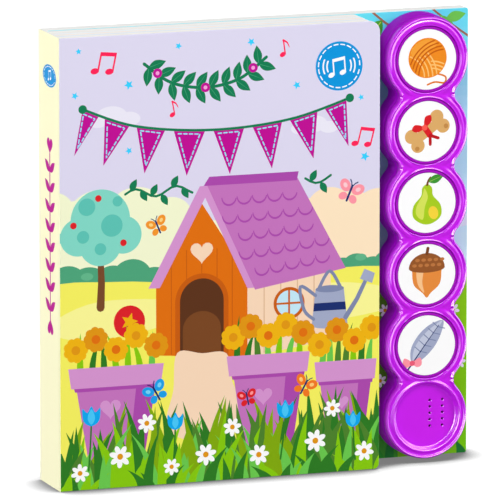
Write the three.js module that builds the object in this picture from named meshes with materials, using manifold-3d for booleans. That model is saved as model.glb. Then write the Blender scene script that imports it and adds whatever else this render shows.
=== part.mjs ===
// Children's sound book: a board book with a plastic sound module of five
// push buttons and a speaker beside the pages. Millimetres, +Z up. The book
// stands upright on its bottom edge: the front cover faces -Y, the spine is
// at -X, the sound module at +X. Origin: centre of the bottom of the
// bounding box.
import * as THREE from 'three';
import { mergeVertices } from 'three/addons/utils/BufferGeometryUtils.js';
import Module from 'manifold-3d';

const wasm = await Module();
wasm.setup();

// ---------------------------------------------------------------- dimensions
const W = 224;              // spine face to the right edge of the back panel
const H = 228;              // height of all boards
const T = 33.4;             // total thickness
const COVER_W = 168;        // front cover, narrower than the back panel
const COVER_T = 2.2;        // front cover board
const COVER_LIFT = 0.3;     // front cover clears what the book stands on
const SPINE_T = 2.0;        // spine board
const FOLD_GAP = 0.3;       // between front cover and what lies behind it
const PAGE_COUNT = 10;      // page boards, glued at the spine side
const PAGE_W = 167.3;       // spine face to the fore-edge of the pages
const PAGE_NOTCH = 0.5;     // depth of the line between two page boards
const PAGE_NOTCH_W = 0.3;
const PANEL_T = 2.0;        // printed full-width board behind the pages
const TRAY_T = 5.0;         // core board around the module's rear housing
const BACK_T = 2.0;         // back cover board
const R_COVER_TOP = 5.5;    // corner radius, top right of cover and pages
const R_COVER_BOT = 2.8;    // corner radius, bottom right of cover and pages
const R_PANEL = 1.2;        // corner radius of the full-width boards

const X0 = -W / 2, X1 = W / 2;
const Y_FRONT = -T / 2, Y_BACK = T / 2;
const Y_COVER = Y_FRONT + COVER_T;           // rear face of the front cover
const Y_PAGES = Y_COVER + FOLD_GAP;          // front face of the first page
const Y_BACKIN = Y_BACK - BACK_T;            // inner face of the back cover
const Y_TRAY = Y_BACKIN - TRAY_T;            // front face of the core board
const Y_PANEL = Y_TRAY - PANEL_T;            // printed face of the panel

// sound module
const XM = X0 + 196.5;      // centre line of the module
const R_OUT = 22.2;         // radius of each of the six round parts
const PITCH = 36.4;         // centre distance
const Z_TOP = 205.5;        // centre of the top button
const R_NECK = 5.0;         // hollow radius between two round parts
const N_BUTTON = 5;
const CASING_H = 16.5;      // casing height above the panel
const CASING_GAP = 0.2;     // glue line between casing and panel
const RING_H = 0.8;         // raised ring around each button
const WALL = 1.8;           // casing wall
const R_HOLE = 16.9;        // button hole
const R_CAP = 16.5;         // button cap
const R_FLANGE = 17.9;      // button's collar behind the face plate
const R_LABEL = 15.3;       // printed disc
const TRAVEL = 1.5;         // button travel
const R_DISH = 15.8;        // floor of the speaker dish
const DISH_D = 2.6;         // depth of the dish below the ring
const GRILLE_R = 0.6;       // sound hole radius
const GRILLE_X = [2.5, 9.2];
const GRILLE_Z0 = 1.2, GRILLE_PITCH = 3.3, GRILLE_N = 5;
const BOSS_X = 9.8, BOSS_R = 2.3;

const Y_RING = Y_PANEL - CASING_H;           // crest of the raised rings
const Y_WEB = Y_RING + RING_H;               // flat web between the circles
const Y_FACE = Y_WEB + WALL;                 // rear of the face plate
const zc = (i) => Z_TOP - PITCH * i;         // centre of circle i, 0..5
const Z_DISH = zc(N_BUTTON);
const BOSS_Z = [0, 2, 4].map((i) => (zc(i) + zc(i + 1)) / 2);

// rear housing of the module, a tray that passes through the boards
const TUB_X = 12.4, TUB_Z0 = 10, TUB_Z1 = 220, TUB_WALL = 1.5;
const Y_TUB0 = Y_PANEL - 1.7, Y_TUB1 = Y_BACKIN - 0.2;
const WIN_X = TUB_X + 0.4, WIN_Z0 = TUB_Z0 - 0.4, WIN_Z1 = TUB_Z1 + 0.4;

// battery well in the rear housing
const WELL_X = 9.4, WELL_Z0 = 127, WELL_Z1 = 176;
const CELL_R = 5.8, CELL_T = 5.4, CELL_Z = [141, 153, 165];
const Y_CELL0 = 9.2, Y_CELL1 = Y_CELL0 + CELL_T;
const DOOR_X = 7.9, DOOR_Z0 = 128.5, DOOR_Z1 = 174.5, DOOR_T = 1.3;
const Y_DOOR1 = Y_BACK - 0.3, Y_DOOR0 = Y_DOOR1 - DOOR_T;
const DOOR_SCREW_Z = 131.4;

// circuit board
const PCB_X = 7, PCB_Z0 = 46, PCB_Z1 = 221, PCB_Y0 = 2.0, PCB_T = 1.2;

// ------------------------------------------------------------------- helpers
const group = new THREE.Group();
group.name = 'sound_book';

function clean(geometry) {
  const g = geometry.clone();
  g.deleteAttribute('normal');
  g.deleteAttribute('uv');
  const m = mergeVertices(g, 1e-4);
  const idx = m.index.array, keep = [];
  for (let i = 0; i < idx.length; i += 3) {
    const a = idx[i], b = idx[i + 1], c = idx[i + 2];
    if (a !== b && b !== c && c !== a) keep.push(a, b, c);
  }
  const p = m.attributes.position;
  let vol = 0;
  for (let i = 0; i < keep.length; i += 3) {
    const [a, b, c] = [keep[i], keep[i + 1], keep[i + 2]];
    vol += p.getX(a) * (p.getY(b) * p.getZ(c) - p.getZ(b) * p.getY(c))
         - p.getY(a) * (p.getX(b) * p.getZ(c) - p.getZ(b) * p.getX(c))
         + p.getZ(a) * (p.getX(b) * p.getY(c) - p.getY(b) * p.getX(c));
  }
  if (vol < 0) {
    for (let i = 0; i < keep.length; i += 3) {
      const t = keep[i + 1]; keep[i + 1] = keep[i + 2]; keep[i + 2] = t;
    }
  }
  m.setIndex(keep);
  return m;
}

function solid(geometry) {
  const m = clean(geometry);
  return new wasm.Manifold(new wasm.Mesh({
    numProp: 3,
    vertProperties: new Float32Array(m.attributes.position.array),
    triVerts: new Uint32Array(m.index.array),
  }));
}

function geometryOf(manifold) {
  const mesh = manifold.getMesh();
  const g = new THREE.BufferGeometry();
  g.setAttribute('position', new THREE.BufferAttribute(
    new Float32Array(mesh.vertProperties), 3));
  g.setIndex(Array.from(mesh.triVerts));
  return g;
}

function add(name, geometry, color, roughness = 0.5, metalness = 0) {
  const g = clean(geometry);
  g.computeVertexNormals();
  const mesh = new THREE.Mesh(g, new THREE.MeshStandardMaterial(
    { color, roughness, metalness }));
  mesh.name = name;
  group.add(mesh);
  return mesh;
}

// outline in X-Z pushed along Y from y0 to y1
function slab(shape, y0, y1, curveSegments = 6) {
  const g = new THREE.ExtrudeGeometry(shape,
    { depth: y1 - y0, bevelEnabled: false, curveSegments });
  g.rotateX(Math.PI / 2);
  g.translate(0, y1, 0);
  return g;
}

// rectangle with its own radius at the two right corners
function boardShape(x0, x1, z0, z1, rTop, rBot) {
  const s = new THREE.Shape();
  s.moveTo(x0, z0);
  s.lineTo(x1 - rBot, z0);
  s.absarc(x1 - rBot, z0 + rBot, rBot, -Math.PI / 2, 0, false);
  s.lineTo(x1, z1 - rTop);
  s.absarc(x1 - rTop, z1 - rTop, rTop, 0, Math.PI / 2, false);
  s.lineTo(x0, z1);
  s.closePath();
  return s;
}

function rectPath(x0, x1, z0, z1) {
  const p = new THREE.Path();
  p.moveTo(x0, z0);
  p.lineTo(x1, z0);
  p.lineTo(x1, z1);
  p.lineTo(x0, z1);
  p.closePath();
  return p;
}

function box(x0, x1, y0, y1, z0, z1) {
  const g = new THREE.BoxGeometry(x1 - x0, y1 - y0, z1 - z0);
  g.translate((x0 + x1) / 2, (y0 + y1) / 2, (z0 + z1) / 2);
  return g;
}

// solid of revolution about an axis along Y; profile of [radius, y]
function turned(profile, x, z, segments = 32) {
  const g = new THREE.LatheGeometry(
    profile.map(([r, y]) => new THREE.Vector2(r, y)), segments);
  g.translate(x, 0, z);
  return g;
}

const rod = (r, y0, y1, x, z, segments = 16) =>
  turned([[0, y0], [r, y0], [r, y1], [0, y1]], x, z, segments);

// closed shell through a stack of matching outlines, one per Y level
function loft(levels) {
  const n = levels[0].pts.length, pos = [], idx = [];
  for (const { y, pts } of levels) for (const [x, z] of pts) pos.push(x, y, z);
  for (let l = 0; l + 1 < levels.length; l++) {
    for (let i = 0; i < n; i++) {
      const j = (i + 1) % n, a = l * n + i, b = l * n + j;
      idx.push(a, b, a + n, b, b + n, a + n);
    }
  }
  const cap = (l, flip) => {
    const faces = THREE.ShapeUtils.triangulateShape(
      levels[l].pts.map(([x, z]) => new THREE.Vector2(x, z)), []);
    for (const [a, b, c] of faces) {
      if (flip) idx.push(l * n + a, l * n + c, l * n + b);
      else idx.push(l * n + a, l * n + b, l * n + c);
    }
  };
  cap(0, true);
  cap(levels.length - 1, false);
  const g = new THREE.BufferGeometry();
  g.setAttribute('position', new THREE.Float32BufferAttribute(pos, 3));
  g.setIndex(idx);
  return g;
}

// outline of the module, moved inwards by d, counter-clockwise in X-Z
function moduleOutline(d) {
  const half = PITCH / 2;
  const xf = Math.sqrt((R_OUT + R_NECK) ** 2 - half ** 2);
  const al = Math.atan2(half, xf);
  const R = R_OUT - d, r = R_NECK + d, pts = [];
  const arc = (cx, cz, rad, a0, a1, n, last) => {
    for (let i = 0; i < (last ? n + 1 : n); i++) {
      const a = a0 + (a1 - a0) * i / n;
      pts.push([cx + rad * Math.cos(a), cz + rad * Math.sin(a)]);
    }
  };
  const NM = 5, NF = 3, NE = 16;
  arc(XM, zc(5), R, -Math.PI - al, al, NE, false);
  for (let i = 4; i >= 0; i--) {
    arc(XM + xf, (zc(i) + zc(i + 1)) / 2, r, Math.PI + al, Math.PI - al, NF, false);
    if (i > 0) arc(XM, zc(i), R, -al, al, NM, false);
  }
  arc(XM, zc(0), R, -al, Math.PI + al, NE, false);
  for (let i = 0; i <= 4; i++) {
    arc(XM - xf, (zc(i) + zc(i + 1)) / 2, r, al, -al, NF, false);
    if (i < 4) arc(XM, zc(i + 1), R, Math.PI - al, Math.PI + al, NM, false);
  }
  return pts;
}

// --------------------------------------------------------------- book boards
const PAPER = 0xf4f2e6;

// front cover: one board that opens about the fold beside the spine
add('front_cover', slab(boardShape(X0, X0 + COVER_W, COVER_LIFT, H,
  R_COVER_TOP, R_COVER_BOT), Y_FRONT, Y_COVER), 0xdcd6ef, 0.35);

// spine board, between the planes of the two covers
add('spine_board', box(X0, X0 + SPINE_T, Y_PAGES, Y_BACKIN, 0, H), 0xfffcd3, 0.35);

// page boards, glued into one block, with a line between each two
{
  const xl = X0 + SPINE_T, xr = X0 + PAGE_W, n = 4;
  const outline = (d) => {
    const pts = [[xl, d], [xr - R_COVER_BOT, d]];
    for (let i = 1; i <= n; i++) {
      const a = -Math.PI / 2 + (Math.PI / 2) * i / n;
      pts.push([xr - R_COVER_BOT + (R_COVER_BOT - d) * Math.cos(a),
        R_COVER_BOT + (R_COVER_BOT - d) * Math.sin(a)]);
    }
    for (let i = 0; i <= n; i++) {
      const a = (Math.PI / 2) * i / n;
      pts.push([xr - R_COVER_TOP + (R_COVER_TOP - d) * Math.cos(a),
        H - R_COVER_TOP + (R_COVER_TOP - d) * Math.sin(a)]);
    }
    pts.push([xl, H - d]);
    return pts;
  };
  const step = (Y_PANEL - Y_PAGES) / PAGE_COUNT, levels = [];
  for (let k = 0; k < PAGE_COUNT; k++) {
    const a = Y_PAGES + step * k + (k ? PAGE_NOTCH_W / 2 : 0);
    const b = Y_PAGES + step * (k + 1) - (k < PAGE_COUNT - 1 ? PAGE_NOTCH_W / 2 : 0);
    if (k) levels.push({ y: a, pts: outline(PAGE_NOTCH) });
    levels.push({ y: a, pts: outline(0) }, { y: b, pts: outline(0) });
    if (k < PAGE_COUNT - 1) levels.push({ y: b, pts: outline(PAGE_NOTCH) });
  }
  add('page_block', loft(levels), PAPER, 0.5);
}

// printed full-width board, with a window for the module's rear housing
{
  const s = boardShape(X0 + SPINE_T, X1, 0, H, R_PANEL, R_PANEL);
  s.holes.push(rectPath(XM - WIN_X, XM + WIN_X, WIN_Z0, WIN_Z1));
  add('panel_board', slab(s, Y_PANEL, Y_TRAY, 3), 0xa5def5, 0.35);
  const t = boardShape(X0 + SPINE_T, X1, 0, H, R_PANEL, R_PANEL);
  t.holes.push(rectPath(XM - WIN_X, XM + WIN_X, WIN_Z0, WIN_Z1));
  add('tray_board', slab(t, Y_TRAY, Y_BACKIN, 3), PAPER, 0.7);
}

// back cover, with an opening for the battery well's collar
{
  const s = boardShape(X0, X1, 0, H, R_PANEL, R_PANEL);
  s.holes.push(rectPath(XM - WELL_X - 0.3, XM + WELL_X + 0.3,
    WELL_Z0 - 0.3, WELL_Z1 + 0.3));
  add('back_cover', slab(s, Y_BACKIN, Y_BACK, 3), 0xdcd6ef, 0.35);
}

// -------------------------------------------------------------- sound module
const PURPLE = 0xcf3bee;

// casing: drafted and stepped side wall, flat face with a raised ring around
// each hole, a dish with sound holes at the bottom, six screw bosses inside
{
  const y0 = Y_PANEL - CASING_GAP;
  const ledge = Y_PANEL - 11.3;
  let c = solid(loft([
    { y: y0, pts: moduleOutline(0) },
    { y: ledge, pts: moduleOutline(0.25) },
    { y: ledge - 0.3, pts: moduleOutline(0.85) },
    { y: Y_WEB + 0.7, pts: moduleOutline(1.0) },
    { y: Y_WEB, pts: moduleOutline(1.6) },
  ]));
  for (let i = 0; i <= N_BUTTON; i++) {
    c = c.add(solid(turned([[0, Y_WEB + 0.5], [20.5, Y_WEB + 0.5], [20.5, Y_WEB],
      [19.6, Y_RING], [17.5, Y_RING], [0, Y_RING]], XM, zc(i), 28)));
  }
  c = c.subtract(solid(loft([
    { y: y0 + 0.1, pts: moduleOutline(WALL) },
    { y: ledge + 1.0, pts: moduleOutline(WALL + 0.25) },
    { y: ledge + 0.7, pts: moduleOutline(WALL + 0.85) },
    { y: Y_FACE, pts: moduleOutline(WALL + 1.0) },
  ])));
  const yFloor = Y_RING + DISH_D;              // front face of the dish floor
  c = c.add(solid(rod(18.4, Y_WEB + 0.6, yFloor + 1.6, XM, Z_DISH, 28)));
  c = c.add(solid(turned([[14.9, yFloor + 1.5], [16.1, yFloor + 1.5],
    [16.1, yFloor + 3.8], [14.9, yFloor + 3.8], [14.9, yFloor + 1.5]],
  XM, Z_DISH, 28)));
  for (const z of BOSS_Z) for (const s of [-1, 1]) {
    c = c.add(solid(rod(BOSS_R, Y_FACE - 0.5, Y_TUB0 - 0.3, XM + s * BOSS_X, z, 14)));
  }
  c = c.subtract(solid(turned([[0, Y_RING - 0.1], [17.1, Y_RING - 0.1],
    [R_DISH, yFloor], [0, yFloor]], XM, Z_DISH, 28)));
  for (let i = 0; i < N_BUTTON; i++) {
    c = c.subtract(solid(rod(R_HOLE, Y_RING - 0.5, Y_FACE + 0.1, XM, zc(i), 28)));
  }
  for (const dx of GRILLE_X) for (let k = 0; k < GRILLE_N; k++) {
    c = c.subtract(solid(rod(GRILLE_R, Y_RING, yFloor + 2, XM + dx,
      Z_DISH + GRILLE_Z0 + GRILLE_PITCH * (k - (GRILLE_N - 1) / 2), 8)));
  }
  for (const z of BOSS_Z) for (const s of [-1, 1]) {
    c = c.subtract(solid(rod(0.95, Y_TUB0 - 8, Y_TUB0, XM + s * BOSS_X, z, 10)));
  }
  add('module_casing', geometryOf(c), PURPLE, 0.25);
}

// rear housing: tray with screw columns, pillars under the circuit board and
// a battery well whose collar reaches the back of the book
{
  const yFloor = Y_TUB1 - TUB_WALL;
  let b = solid(box(XM - TUB_X, XM + TUB_X, Y_TUB0, Y_TUB1, TUB_Z0, TUB_Z1));
  b = b.subtract(solid(box(XM - TUB_X + TUB_WALL, XM + TUB_X - TUB_WALL,
    Y_TUB0 - 1, yFloor, TUB_Z0 + TUB_WALL, TUB_Z1 - TUB_WALL)));
  for (const z of BOSS_Z) for (const s of [-1, 1]) {
    b = b.add(solid(rod(BOSS_R, Y_TUB0, yFloor + 0.5, XM + s * BOSS_X, z, 14)));
  }
  for (const z of [50, 78.1, 110, 187.3, 215.5]) {
    b = b.add(solid(rod(1.5, PCB_Y0 + PCB_T + 0.1, yFloor + 0.5, XM, z, 10)));
  }
  b = b.add(solid(box(XM - WELL_X, XM + WELL_X, 7.2, Y_DOOR1, WELL_Z0, WELL_Z1)));
  b = b.subtract(solid(box(XM - DOOR_X - 0.3, XM + DOOR_X + 0.3, Y_DOOR0 - 0.1,
    Y_BACK, DOOR_Z0 - 0.3, DOOR_Z1 + 0.3)));
  b = b.subtract(solid(box(XM - 6.2, XM + 6.2, 8.7, Y_BACK, 134.8, 171.6)));
  b = b.subtract(solid(rod(0.9, 8.6, Y_BACK, XM, DOOR_SCREW_Z, 10)));
  for (const z of BOSS_Z) for (const s of [-1, 1]) {
    b = b.subtract(solid(rod(1.25, Y_TUB0 - 1, Y_TUB1 + 1, XM + s * BOSS_X, z, 10)));
    b = b.subtract(solid(rod(2.1, Y_TUB1 - 1.3, Y_TUB1 + 1, XM + s * BOSS_X, z, 14)));
  }
  // wire ways through the two ends of the well
  const way = (z0, z1, y, x) => {
    const g = new THREE.CylinderGeometry(0.9, 0.9, z1 - z0, 10);
    g.rotateX(Math.PI / 2);
    g.translate(x, y, (z0 + z1) / 2);
    return solid(g);
  };
  b = b.subtract(way(WELL_Z0 - 1, 135.5, 10.2, XM + 4.4));
  b = b.subtract(way(171, WELL_Z1 + 1, 10.2, XM + 4.4));
  add('module_back', geometryOf(b), 0xb32fd0, 0.4);
}

// screws that hold the two halves of the module together
{
  let k = 1;
  for (const z of BOSS_Z) for (const s of [-1, 1]) {
    add('module_screw_' + k++, turned([[0, Y_TUB1 - 0.1], [1.3, Y_TUB1 - 0.1],
      [1.9, Y_TUB1 - 0.5], [1.9, Y_TUB1 - 1.2], [0.8, Y_TUB1 - 1.2],
      [0.8, Y_TUB0 - 5], [0, Y_TUB0 - 6]],
    XM + s * BOSS_X, z, 9), 0xb9bcc2, 0.35, 1);
  }
}

// five push buttons: cap with a shallow recess, collar behind the face plate,
// stem towards the switch; a printed disc lies in each recess
const Y_CAP = Y_RING + 0.9;
for (let i = 0; i < N_BUTTON; i++) {
  add('button_' + (i + 1), turned([[0, Y_CAP + 0.5], [R_LABEL + 0.2, Y_CAP + 0.5],
    [R_LABEL + 0.2, Y_CAP], [R_CAP - 0.2, Y_CAP], [R_CAP, Y_CAP + 0.3],
    [R_CAP, Y_FACE + 0.3], [R_FLANGE, Y_FACE + 0.3], [R_FLANGE, Y_FACE + 1.5],
    [3.5, Y_FACE + 1.5], [3.5, PCB_Y0 - 3.5], [0, PCB_Y0 - 3.5]], XM, zc(i), 24),
  0x9a12b8, 0.3);
  add('label_' + (i + 1), rod(R_LABEL, Y_CAP + 0.05, Y_CAP + 0.45, XM, zc(i), 24),
    0xffffff, 0.3);
  // silicone switch dome, drawn at its pressed height
  add('dome_' + (i + 1), turned([[0, PCB_Y0 - 1.8], [2.4, PCB_Y0 - 1.8],
    [2.6, PCB_Y0 - 1.4], [4.2, PCB_Y0 - 0.5], [5.2, PCB_Y0 - 0.5], [5.2, PCB_Y0],
    [0, PCB_Y0]], XM, zc(i), 12), 0xe8e4da, 0.8);
}

// circuit board with its covered chip and a capacitor
add('circuit_board', box(XM - PCB_X, XM + PCB_X, PCB_Y0, PCB_Y0 + PCB_T,
  PCB_Z0, PCB_Z1), 0x1f6b3a, 0.5);
add('sound_chip', turned([[0, PCB_Y0 + PCB_T], [4.2, PCB_Y0 + PCB_T],
  [3.4, PCB_Y0 + PCB_T + 1.0], [1.6, PCB_Y0 + PCB_T + 1.5],
  [0, PCB_Y0 + PCB_T + 1.6]], XM, 98, 18), 0x111111, 0.3);
add('capacitor', rod(2.0, PCB_Y0 + PCB_T, PCB_Y0 + PCB_T + 5.5, XM, 66, 14),
  0x2a2f45, 0.4);

// speaker behind the dish: steel frame, paper cone, magnet
{
  const y = Y_RING + DISH_D + 1.9;
  add('speaker_frame', turned([[0, y + 6.2], [9, y + 6.2], [12.9, y + 1.2],
    [14.5, y + 1.2], [14.5, y], [12.5, y], [12.5, y + 0.9], [8.6, y + 5.4],
    [0, y + 5.4]], XM, Z_DISH, 20), 0xa9adb3, 0.4, 1);
  add('speaker_cone', turned([[0, y + 2.0], [3.4, y + 3.0], [11.9, y + 0.3],
    [11.9, y + 0.7], [3.4, y + 3.5], [0, y + 2.5]], XM, Z_DISH, 20), 0x2b2b2b, 0.9);
  add('speaker_magnet', rod(8, y + 6.25, y + 10.0, XM, Z_DISH, 20), 0x55585c, 0.5, 1);
}

// three button cells and their four contact plates
CELL_Z.forEach((z, i) => {
  add('battery_' + (i + 1), turned([[0, Y_CELL0], [4.6, Y_CELL0], [4.9, Y_CELL0 + 0.5],
    [CELL_R, Y_CELL0 + 0.9], [CELL_R, Y_CELL1], [0, Y_CELL1]], XM, z, 20),
  0xc9ccd1, 0.25, 1);
});
add('battery_contact_negative', box(XM - 3.5, XM + 3.5, 8.85, 9.15, 137, 145), 0xd6d3c4, 0.3, 1);
add('battery_contact_link_inner', box(XM - 3.5, XM + 3.5, 8.85, 9.15, 149, 169), 0xd6d3c4, 0.3, 1);
add('battery_contact_link_door', box(XM - 3.5, XM + 3.5, 14.65, 14.9, 137, 157), 0xd6d3c4, 0.3, 1);
{
  const s = new THREE.Shape();               // L-shaped strip, side view Y-Z
  s.moveTo(14.65, 161);
  s.lineTo(14.9, 161);
  s.lineTo(14.9, 171.4);
  s.lineTo(9.0, 171.4);
  s.lineTo(9.0, 171.1);
  s.lineTo(14.65, 171.1);
  s.closePath();
  const g = new THREE.ExtrudeGeometry(s, { depth: 7, bevelEnabled: false });
  g.applyMatrix4(new THREE.Matrix4().set(
    0, 0, 1, XM - 3.5,
    1, 0, 0, 0,
    0, 1, 0, 0,
    0, 0, 0, 1));
  add('battery_contact_positive', g, 0xd6d3c4, 0.3, 1);
}

// battery door in the back, held by one screw
{
  let d = solid(box(XM - DOOR_X, XM + DOOR_X, Y_DOOR0, Y_DOOR1, DOOR_Z0, DOOR_Z1));
  d = d.subtract(solid(turned([[0, Y_DOOR0 - 0.5], [1.15, Y_DOOR0 - 0.5],
    [1.15, Y_DOOR0 + 0.4], [2.3, Y_DOOR1 + 0.01], [2.3, Y_DOOR1 + 0.5],
    [0, Y_DOOR1 + 0.5]], XM, DOOR_SCREW_Z, 16)));
  add('battery_door', geometryOf(d), PURPLE, 0.35);
  add('battery_door_screw', turned([[0, 9.4], [0.75, 9.9], [0.75, Y_DOOR0 + 0.3],
    [1.9, Y_DOOR1 - 0.15], [1.9, Y_DOOR1 - 0.05], [0, Y_DOOR1 - 0.05]],
  XM, DOOR_SCREW_Z, 14), 0xb9bcc2, 0.35, 1);
}

// wires inside the module, soldered at both ends
{
  const wire = (name, points, color) => {
    const path = new THREE.CatmullRomCurve3(
      points.map((p) => new THREE.Vector3(...p)), false, 'centripetal');
    const s = new THREE.Shape();
    s.absarc(0, 0, 0.5, 0, Math.PI * 2, false);
    add(name, new THREE.ExtrudeGeometry(s,
      { extrudePath: path, steps: 6, curveSegments: 4, bevelEnabled: false }),
    color, 0.5);
  };
  const yw = PCB_Y0 + PCB_T + 0.8;
  wire('speaker_wire_red', [[XM - 3, 3.2, 33.6], [XM - 3, yw, 38], [XM - 3, yw, 48]], 0xcc2222);
  wire('speaker_wire_black', [[XM + 3, 3.2, 33.6], [XM + 3, yw, 38], [XM + 3, yw, 48]], 0x222222);
  wire('battery_wire_red', [[XM + 4.4, 10.2, 171.9], [XM + 4.4, 10.2, 177.5],
    [XM + 4.4, 7.0, 180.5], [XM + 4.4, yw + 0.3, 184]], 0xcc2222);
  wire('battery_wire_black', [[XM + 4.4, 10.2, 134.3], [XM + 4.4, 10.2, 125.5],
    [XM + 4.4, 7.0, 122.5], [XM + 4.4, yw + 0.3, 119]], 0x222222);
}

export default group;
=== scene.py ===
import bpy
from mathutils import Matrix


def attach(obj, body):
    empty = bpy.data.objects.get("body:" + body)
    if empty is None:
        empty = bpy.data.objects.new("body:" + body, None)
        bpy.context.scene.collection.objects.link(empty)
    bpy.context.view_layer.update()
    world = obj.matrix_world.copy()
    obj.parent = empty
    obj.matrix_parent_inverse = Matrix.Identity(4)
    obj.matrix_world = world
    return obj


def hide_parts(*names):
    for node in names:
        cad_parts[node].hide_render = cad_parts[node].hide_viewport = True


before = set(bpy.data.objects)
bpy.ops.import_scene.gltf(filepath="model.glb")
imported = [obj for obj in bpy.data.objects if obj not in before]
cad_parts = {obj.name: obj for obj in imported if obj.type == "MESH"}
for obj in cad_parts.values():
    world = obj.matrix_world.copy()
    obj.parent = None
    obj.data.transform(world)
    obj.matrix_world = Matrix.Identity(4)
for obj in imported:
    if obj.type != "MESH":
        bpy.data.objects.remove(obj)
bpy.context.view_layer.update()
# Looks of the sound book. Millimetres in the helpers, metres in the meshes.
import math
import random

import bpy
import numpy as np
from mathutils import Vector
from mathutils.geometry import delaunay_2d_cdt


rnd = random.Random(7)

# ------------------------------------------------------------------ dimensions
W, H, T = 224.0, 228.0, 33.4
X0, X1 = -W / 2, W / 2
COVER_W, COVER_T, COVER_LIFT, SPINE_T, FOLD_GAP = 168.0, 2.2, 0.3, 2.0, 0.3
PAGE_W, PAGES = 167.3, 10
YF, YB = -T / 2, T / 2
Y_COVER = YF + COVER_T
Y_PAGES = Y_COVER + FOLD_GAP
Y_BACKIN = YB - 2.0
Y_TRAY = Y_BACKIN - 5.0
Y_PANEL = Y_TRAY - 2.0
R_CT, R_CB, R_P = 5.5, 2.8, 1.2
XM = X0 + 196.5
R_OUT, PITCH, Z_TOP, R_NECK = 22.2, 36.4, 205.5, 5.0
CASING_H, R_HOLE, R_CAP, R_LABEL, R_FLANGE = 16.5, 16.9, 16.5, 15.3, 17.9
Y_RING = Y_PANEL - CASING_H
Y_WEB = Y_RING + 0.8
Y_FACE = Y_WEB + 1.8
Y_CAP = Y_RING + 0.9
PCB_Y0 = 2.0


def zc(i):
    return Z_TOP - PITCH * i


# ------------------------------------------------------------------- materials
def lin(c):
    c = c / 255.0
    return c / 12.92 if c <= 0.04045 else ((c + 0.055) / 1.055) ** 2.4


_mats = {}


def mat(name, rgb, rough=0.4, metal=0.0, spec=0.5, coat=0.0, coat_rough=0.1,
        sss=0.0):
    if name in _mats:
        return _mats[name]
    m = bpy.data.materials.new(name)
    m.use_nodes = True
    b = m.node_tree.nodes["Principled BSDF"]
    b.inputs["Base Color"].default_value = (lin(rgb[0]), lin(rgb[1]), lin(rgb[2]), 1)
    b.inputs["Roughness"].default_value = rough
    b.inputs["Metallic"].default_value = metal
    b.inputs["Specular IOR Level"].default_value = spec
    b.inputs["Coat Weight"].default_value = coat
    b.inputs["Coat Roughness"].default_value = coat_rough
    if sss:
        b.inputs["Subsurface Weight"].default_value = sss
        b.inputs["Subsurface Radius"].default_value = (0.003, 0.001, 0.003)
        b.inputs["Subsurface Scale"].default_value = 1.0
    _mats[name] = m
    return m


def ink(rgb):
    """Printed ink under a gloss film."""
    return mat("ink_%02x%02x%02x" % tuple(rgb), rgb, rough=0.42, spec=0.16)


def mix(a, b, t):
    return tuple(int(round(a[i] * (1 - t) + b[i] * t)) for i in range(3))


BOARD = mat("board_edge", (236, 236, 234), rough=0.9, spec=0.05)
CORE = mat("core_board", (226, 222, 212), rough=0.85, spec=0.2)
PURPLE = mat("purple_plastic", (210, 26, 244), rough=0.16, spec=0.7, coat=0.8,
             coat_rough=0.06)
# Darker copy of the purple plastic: its colour is painted shade on the lower casing walls.
SHADED_WALL_PURPLE = mat("purple_plastic_wall_painted_shade", (158, 2, 194), rough=0.5, spec=0.1)
# Darker copy of the purple plastic: its colour is painted shade in the holes and on the button caps sunk in them.
SHADED_DEEP_PURPLE = mat("purple_plastic_painted_shade", (166, 8, 190), rough=0.4, spec=0.15)
STEEL = mat("steel", (190, 193, 198), rough=0.3, metal=1.0)

# inks
SKY = (222, 217, 240)
CREAM = (245, 248, 210)
PEACH = (255, 230, 195)
SPINE = (255, 252, 211)
HEDGE = (76, 164, 122)
HEDGE2 = (98, 182, 138)
GROUND = (247, 241, 95)
GROUND2 = (252, 247, 150)
PUR = (197, 115, 189)
PUR2 = (172, 72, 172)
PUR3 = (214, 148, 207)
ORANGE = (226, 111, 1)
ORANGE2 = (201, 92, 4)
SKIN = (250, 217, 186)
GOLD = (241, 180, 5)
GOLD2 = (226, 150, 8)
TEAL = (130, 216, 198)
TEAL2 = (92, 195, 180)
BLUE = (0, 150, 222)
DGREEN = (15, 124, 81)
MAGENTA = (192, 1, 148)
NOTE = (255, 31, 87)
STAR = (48, 207, 253)
G1, G2, G3, G4, G5 = (134, 201, 0), (43, 122, 32), (76, 130, 42), (105, 200, 76), (129, 170, 0)
PINK = (255, 150, 165)
RED = (221, 29, 37)
GREY = (162, 170, 199)
GREY2 = (126, 136, 172)
NAVY = (25, 45, 110)
WHITE = (255, 255, 255)
BROWN = (120, 72, 40)
BLACK = (34, 30, 36)


# ------------------------------------------------------------------------- art
def arc_pts(cx, cy, rx, ry, a0, a1, n, rot=0.0):
    out = []
    cr, sr = math.cos(rot), math.sin(rot)
    for k in range(n + 1):
        a = math.radians(a0 + (a1 - a0) * k / n)
        x, y = rx * math.cos(a), ry * math.sin(a)
        out.append((cx + x * cr - y * sr, cy + x * sr + y * cr))
    return out


def smooth(pts, closed=True, n=6):
    """Catmull-Rom through the points."""
    out, m = [], len(pts)
    rng = range(m) if closed else range(m - 1)
    for i in rng:
        if closed:
            p0, p1, p2, p3 = pts[i - 1], pts[i], pts[(i + 1) % m], pts[(i + 2) % m]
        else:
            p0, p1, p2, p3 = pts[max(i - 1, 0)], pts[i], pts[i + 1], pts[min(i + 2, m - 1)]
        for k in range(n):
            t = k / n
            out.append(tuple(0.5 * (2 * p1[j] + (p2[j] - p0[j]) * t
                       + (2 * p0[j] - 5 * p1[j] + 4 * p2[j] - p3[j]) * t * t
                       + (3 * p1[j] - p0[j] - 3 * p2[j] + p3[j]) * t ** 3) for j in (0, 1)))
    if not closed:
        out.append(tuple(pts[-1]))
    return out


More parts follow.
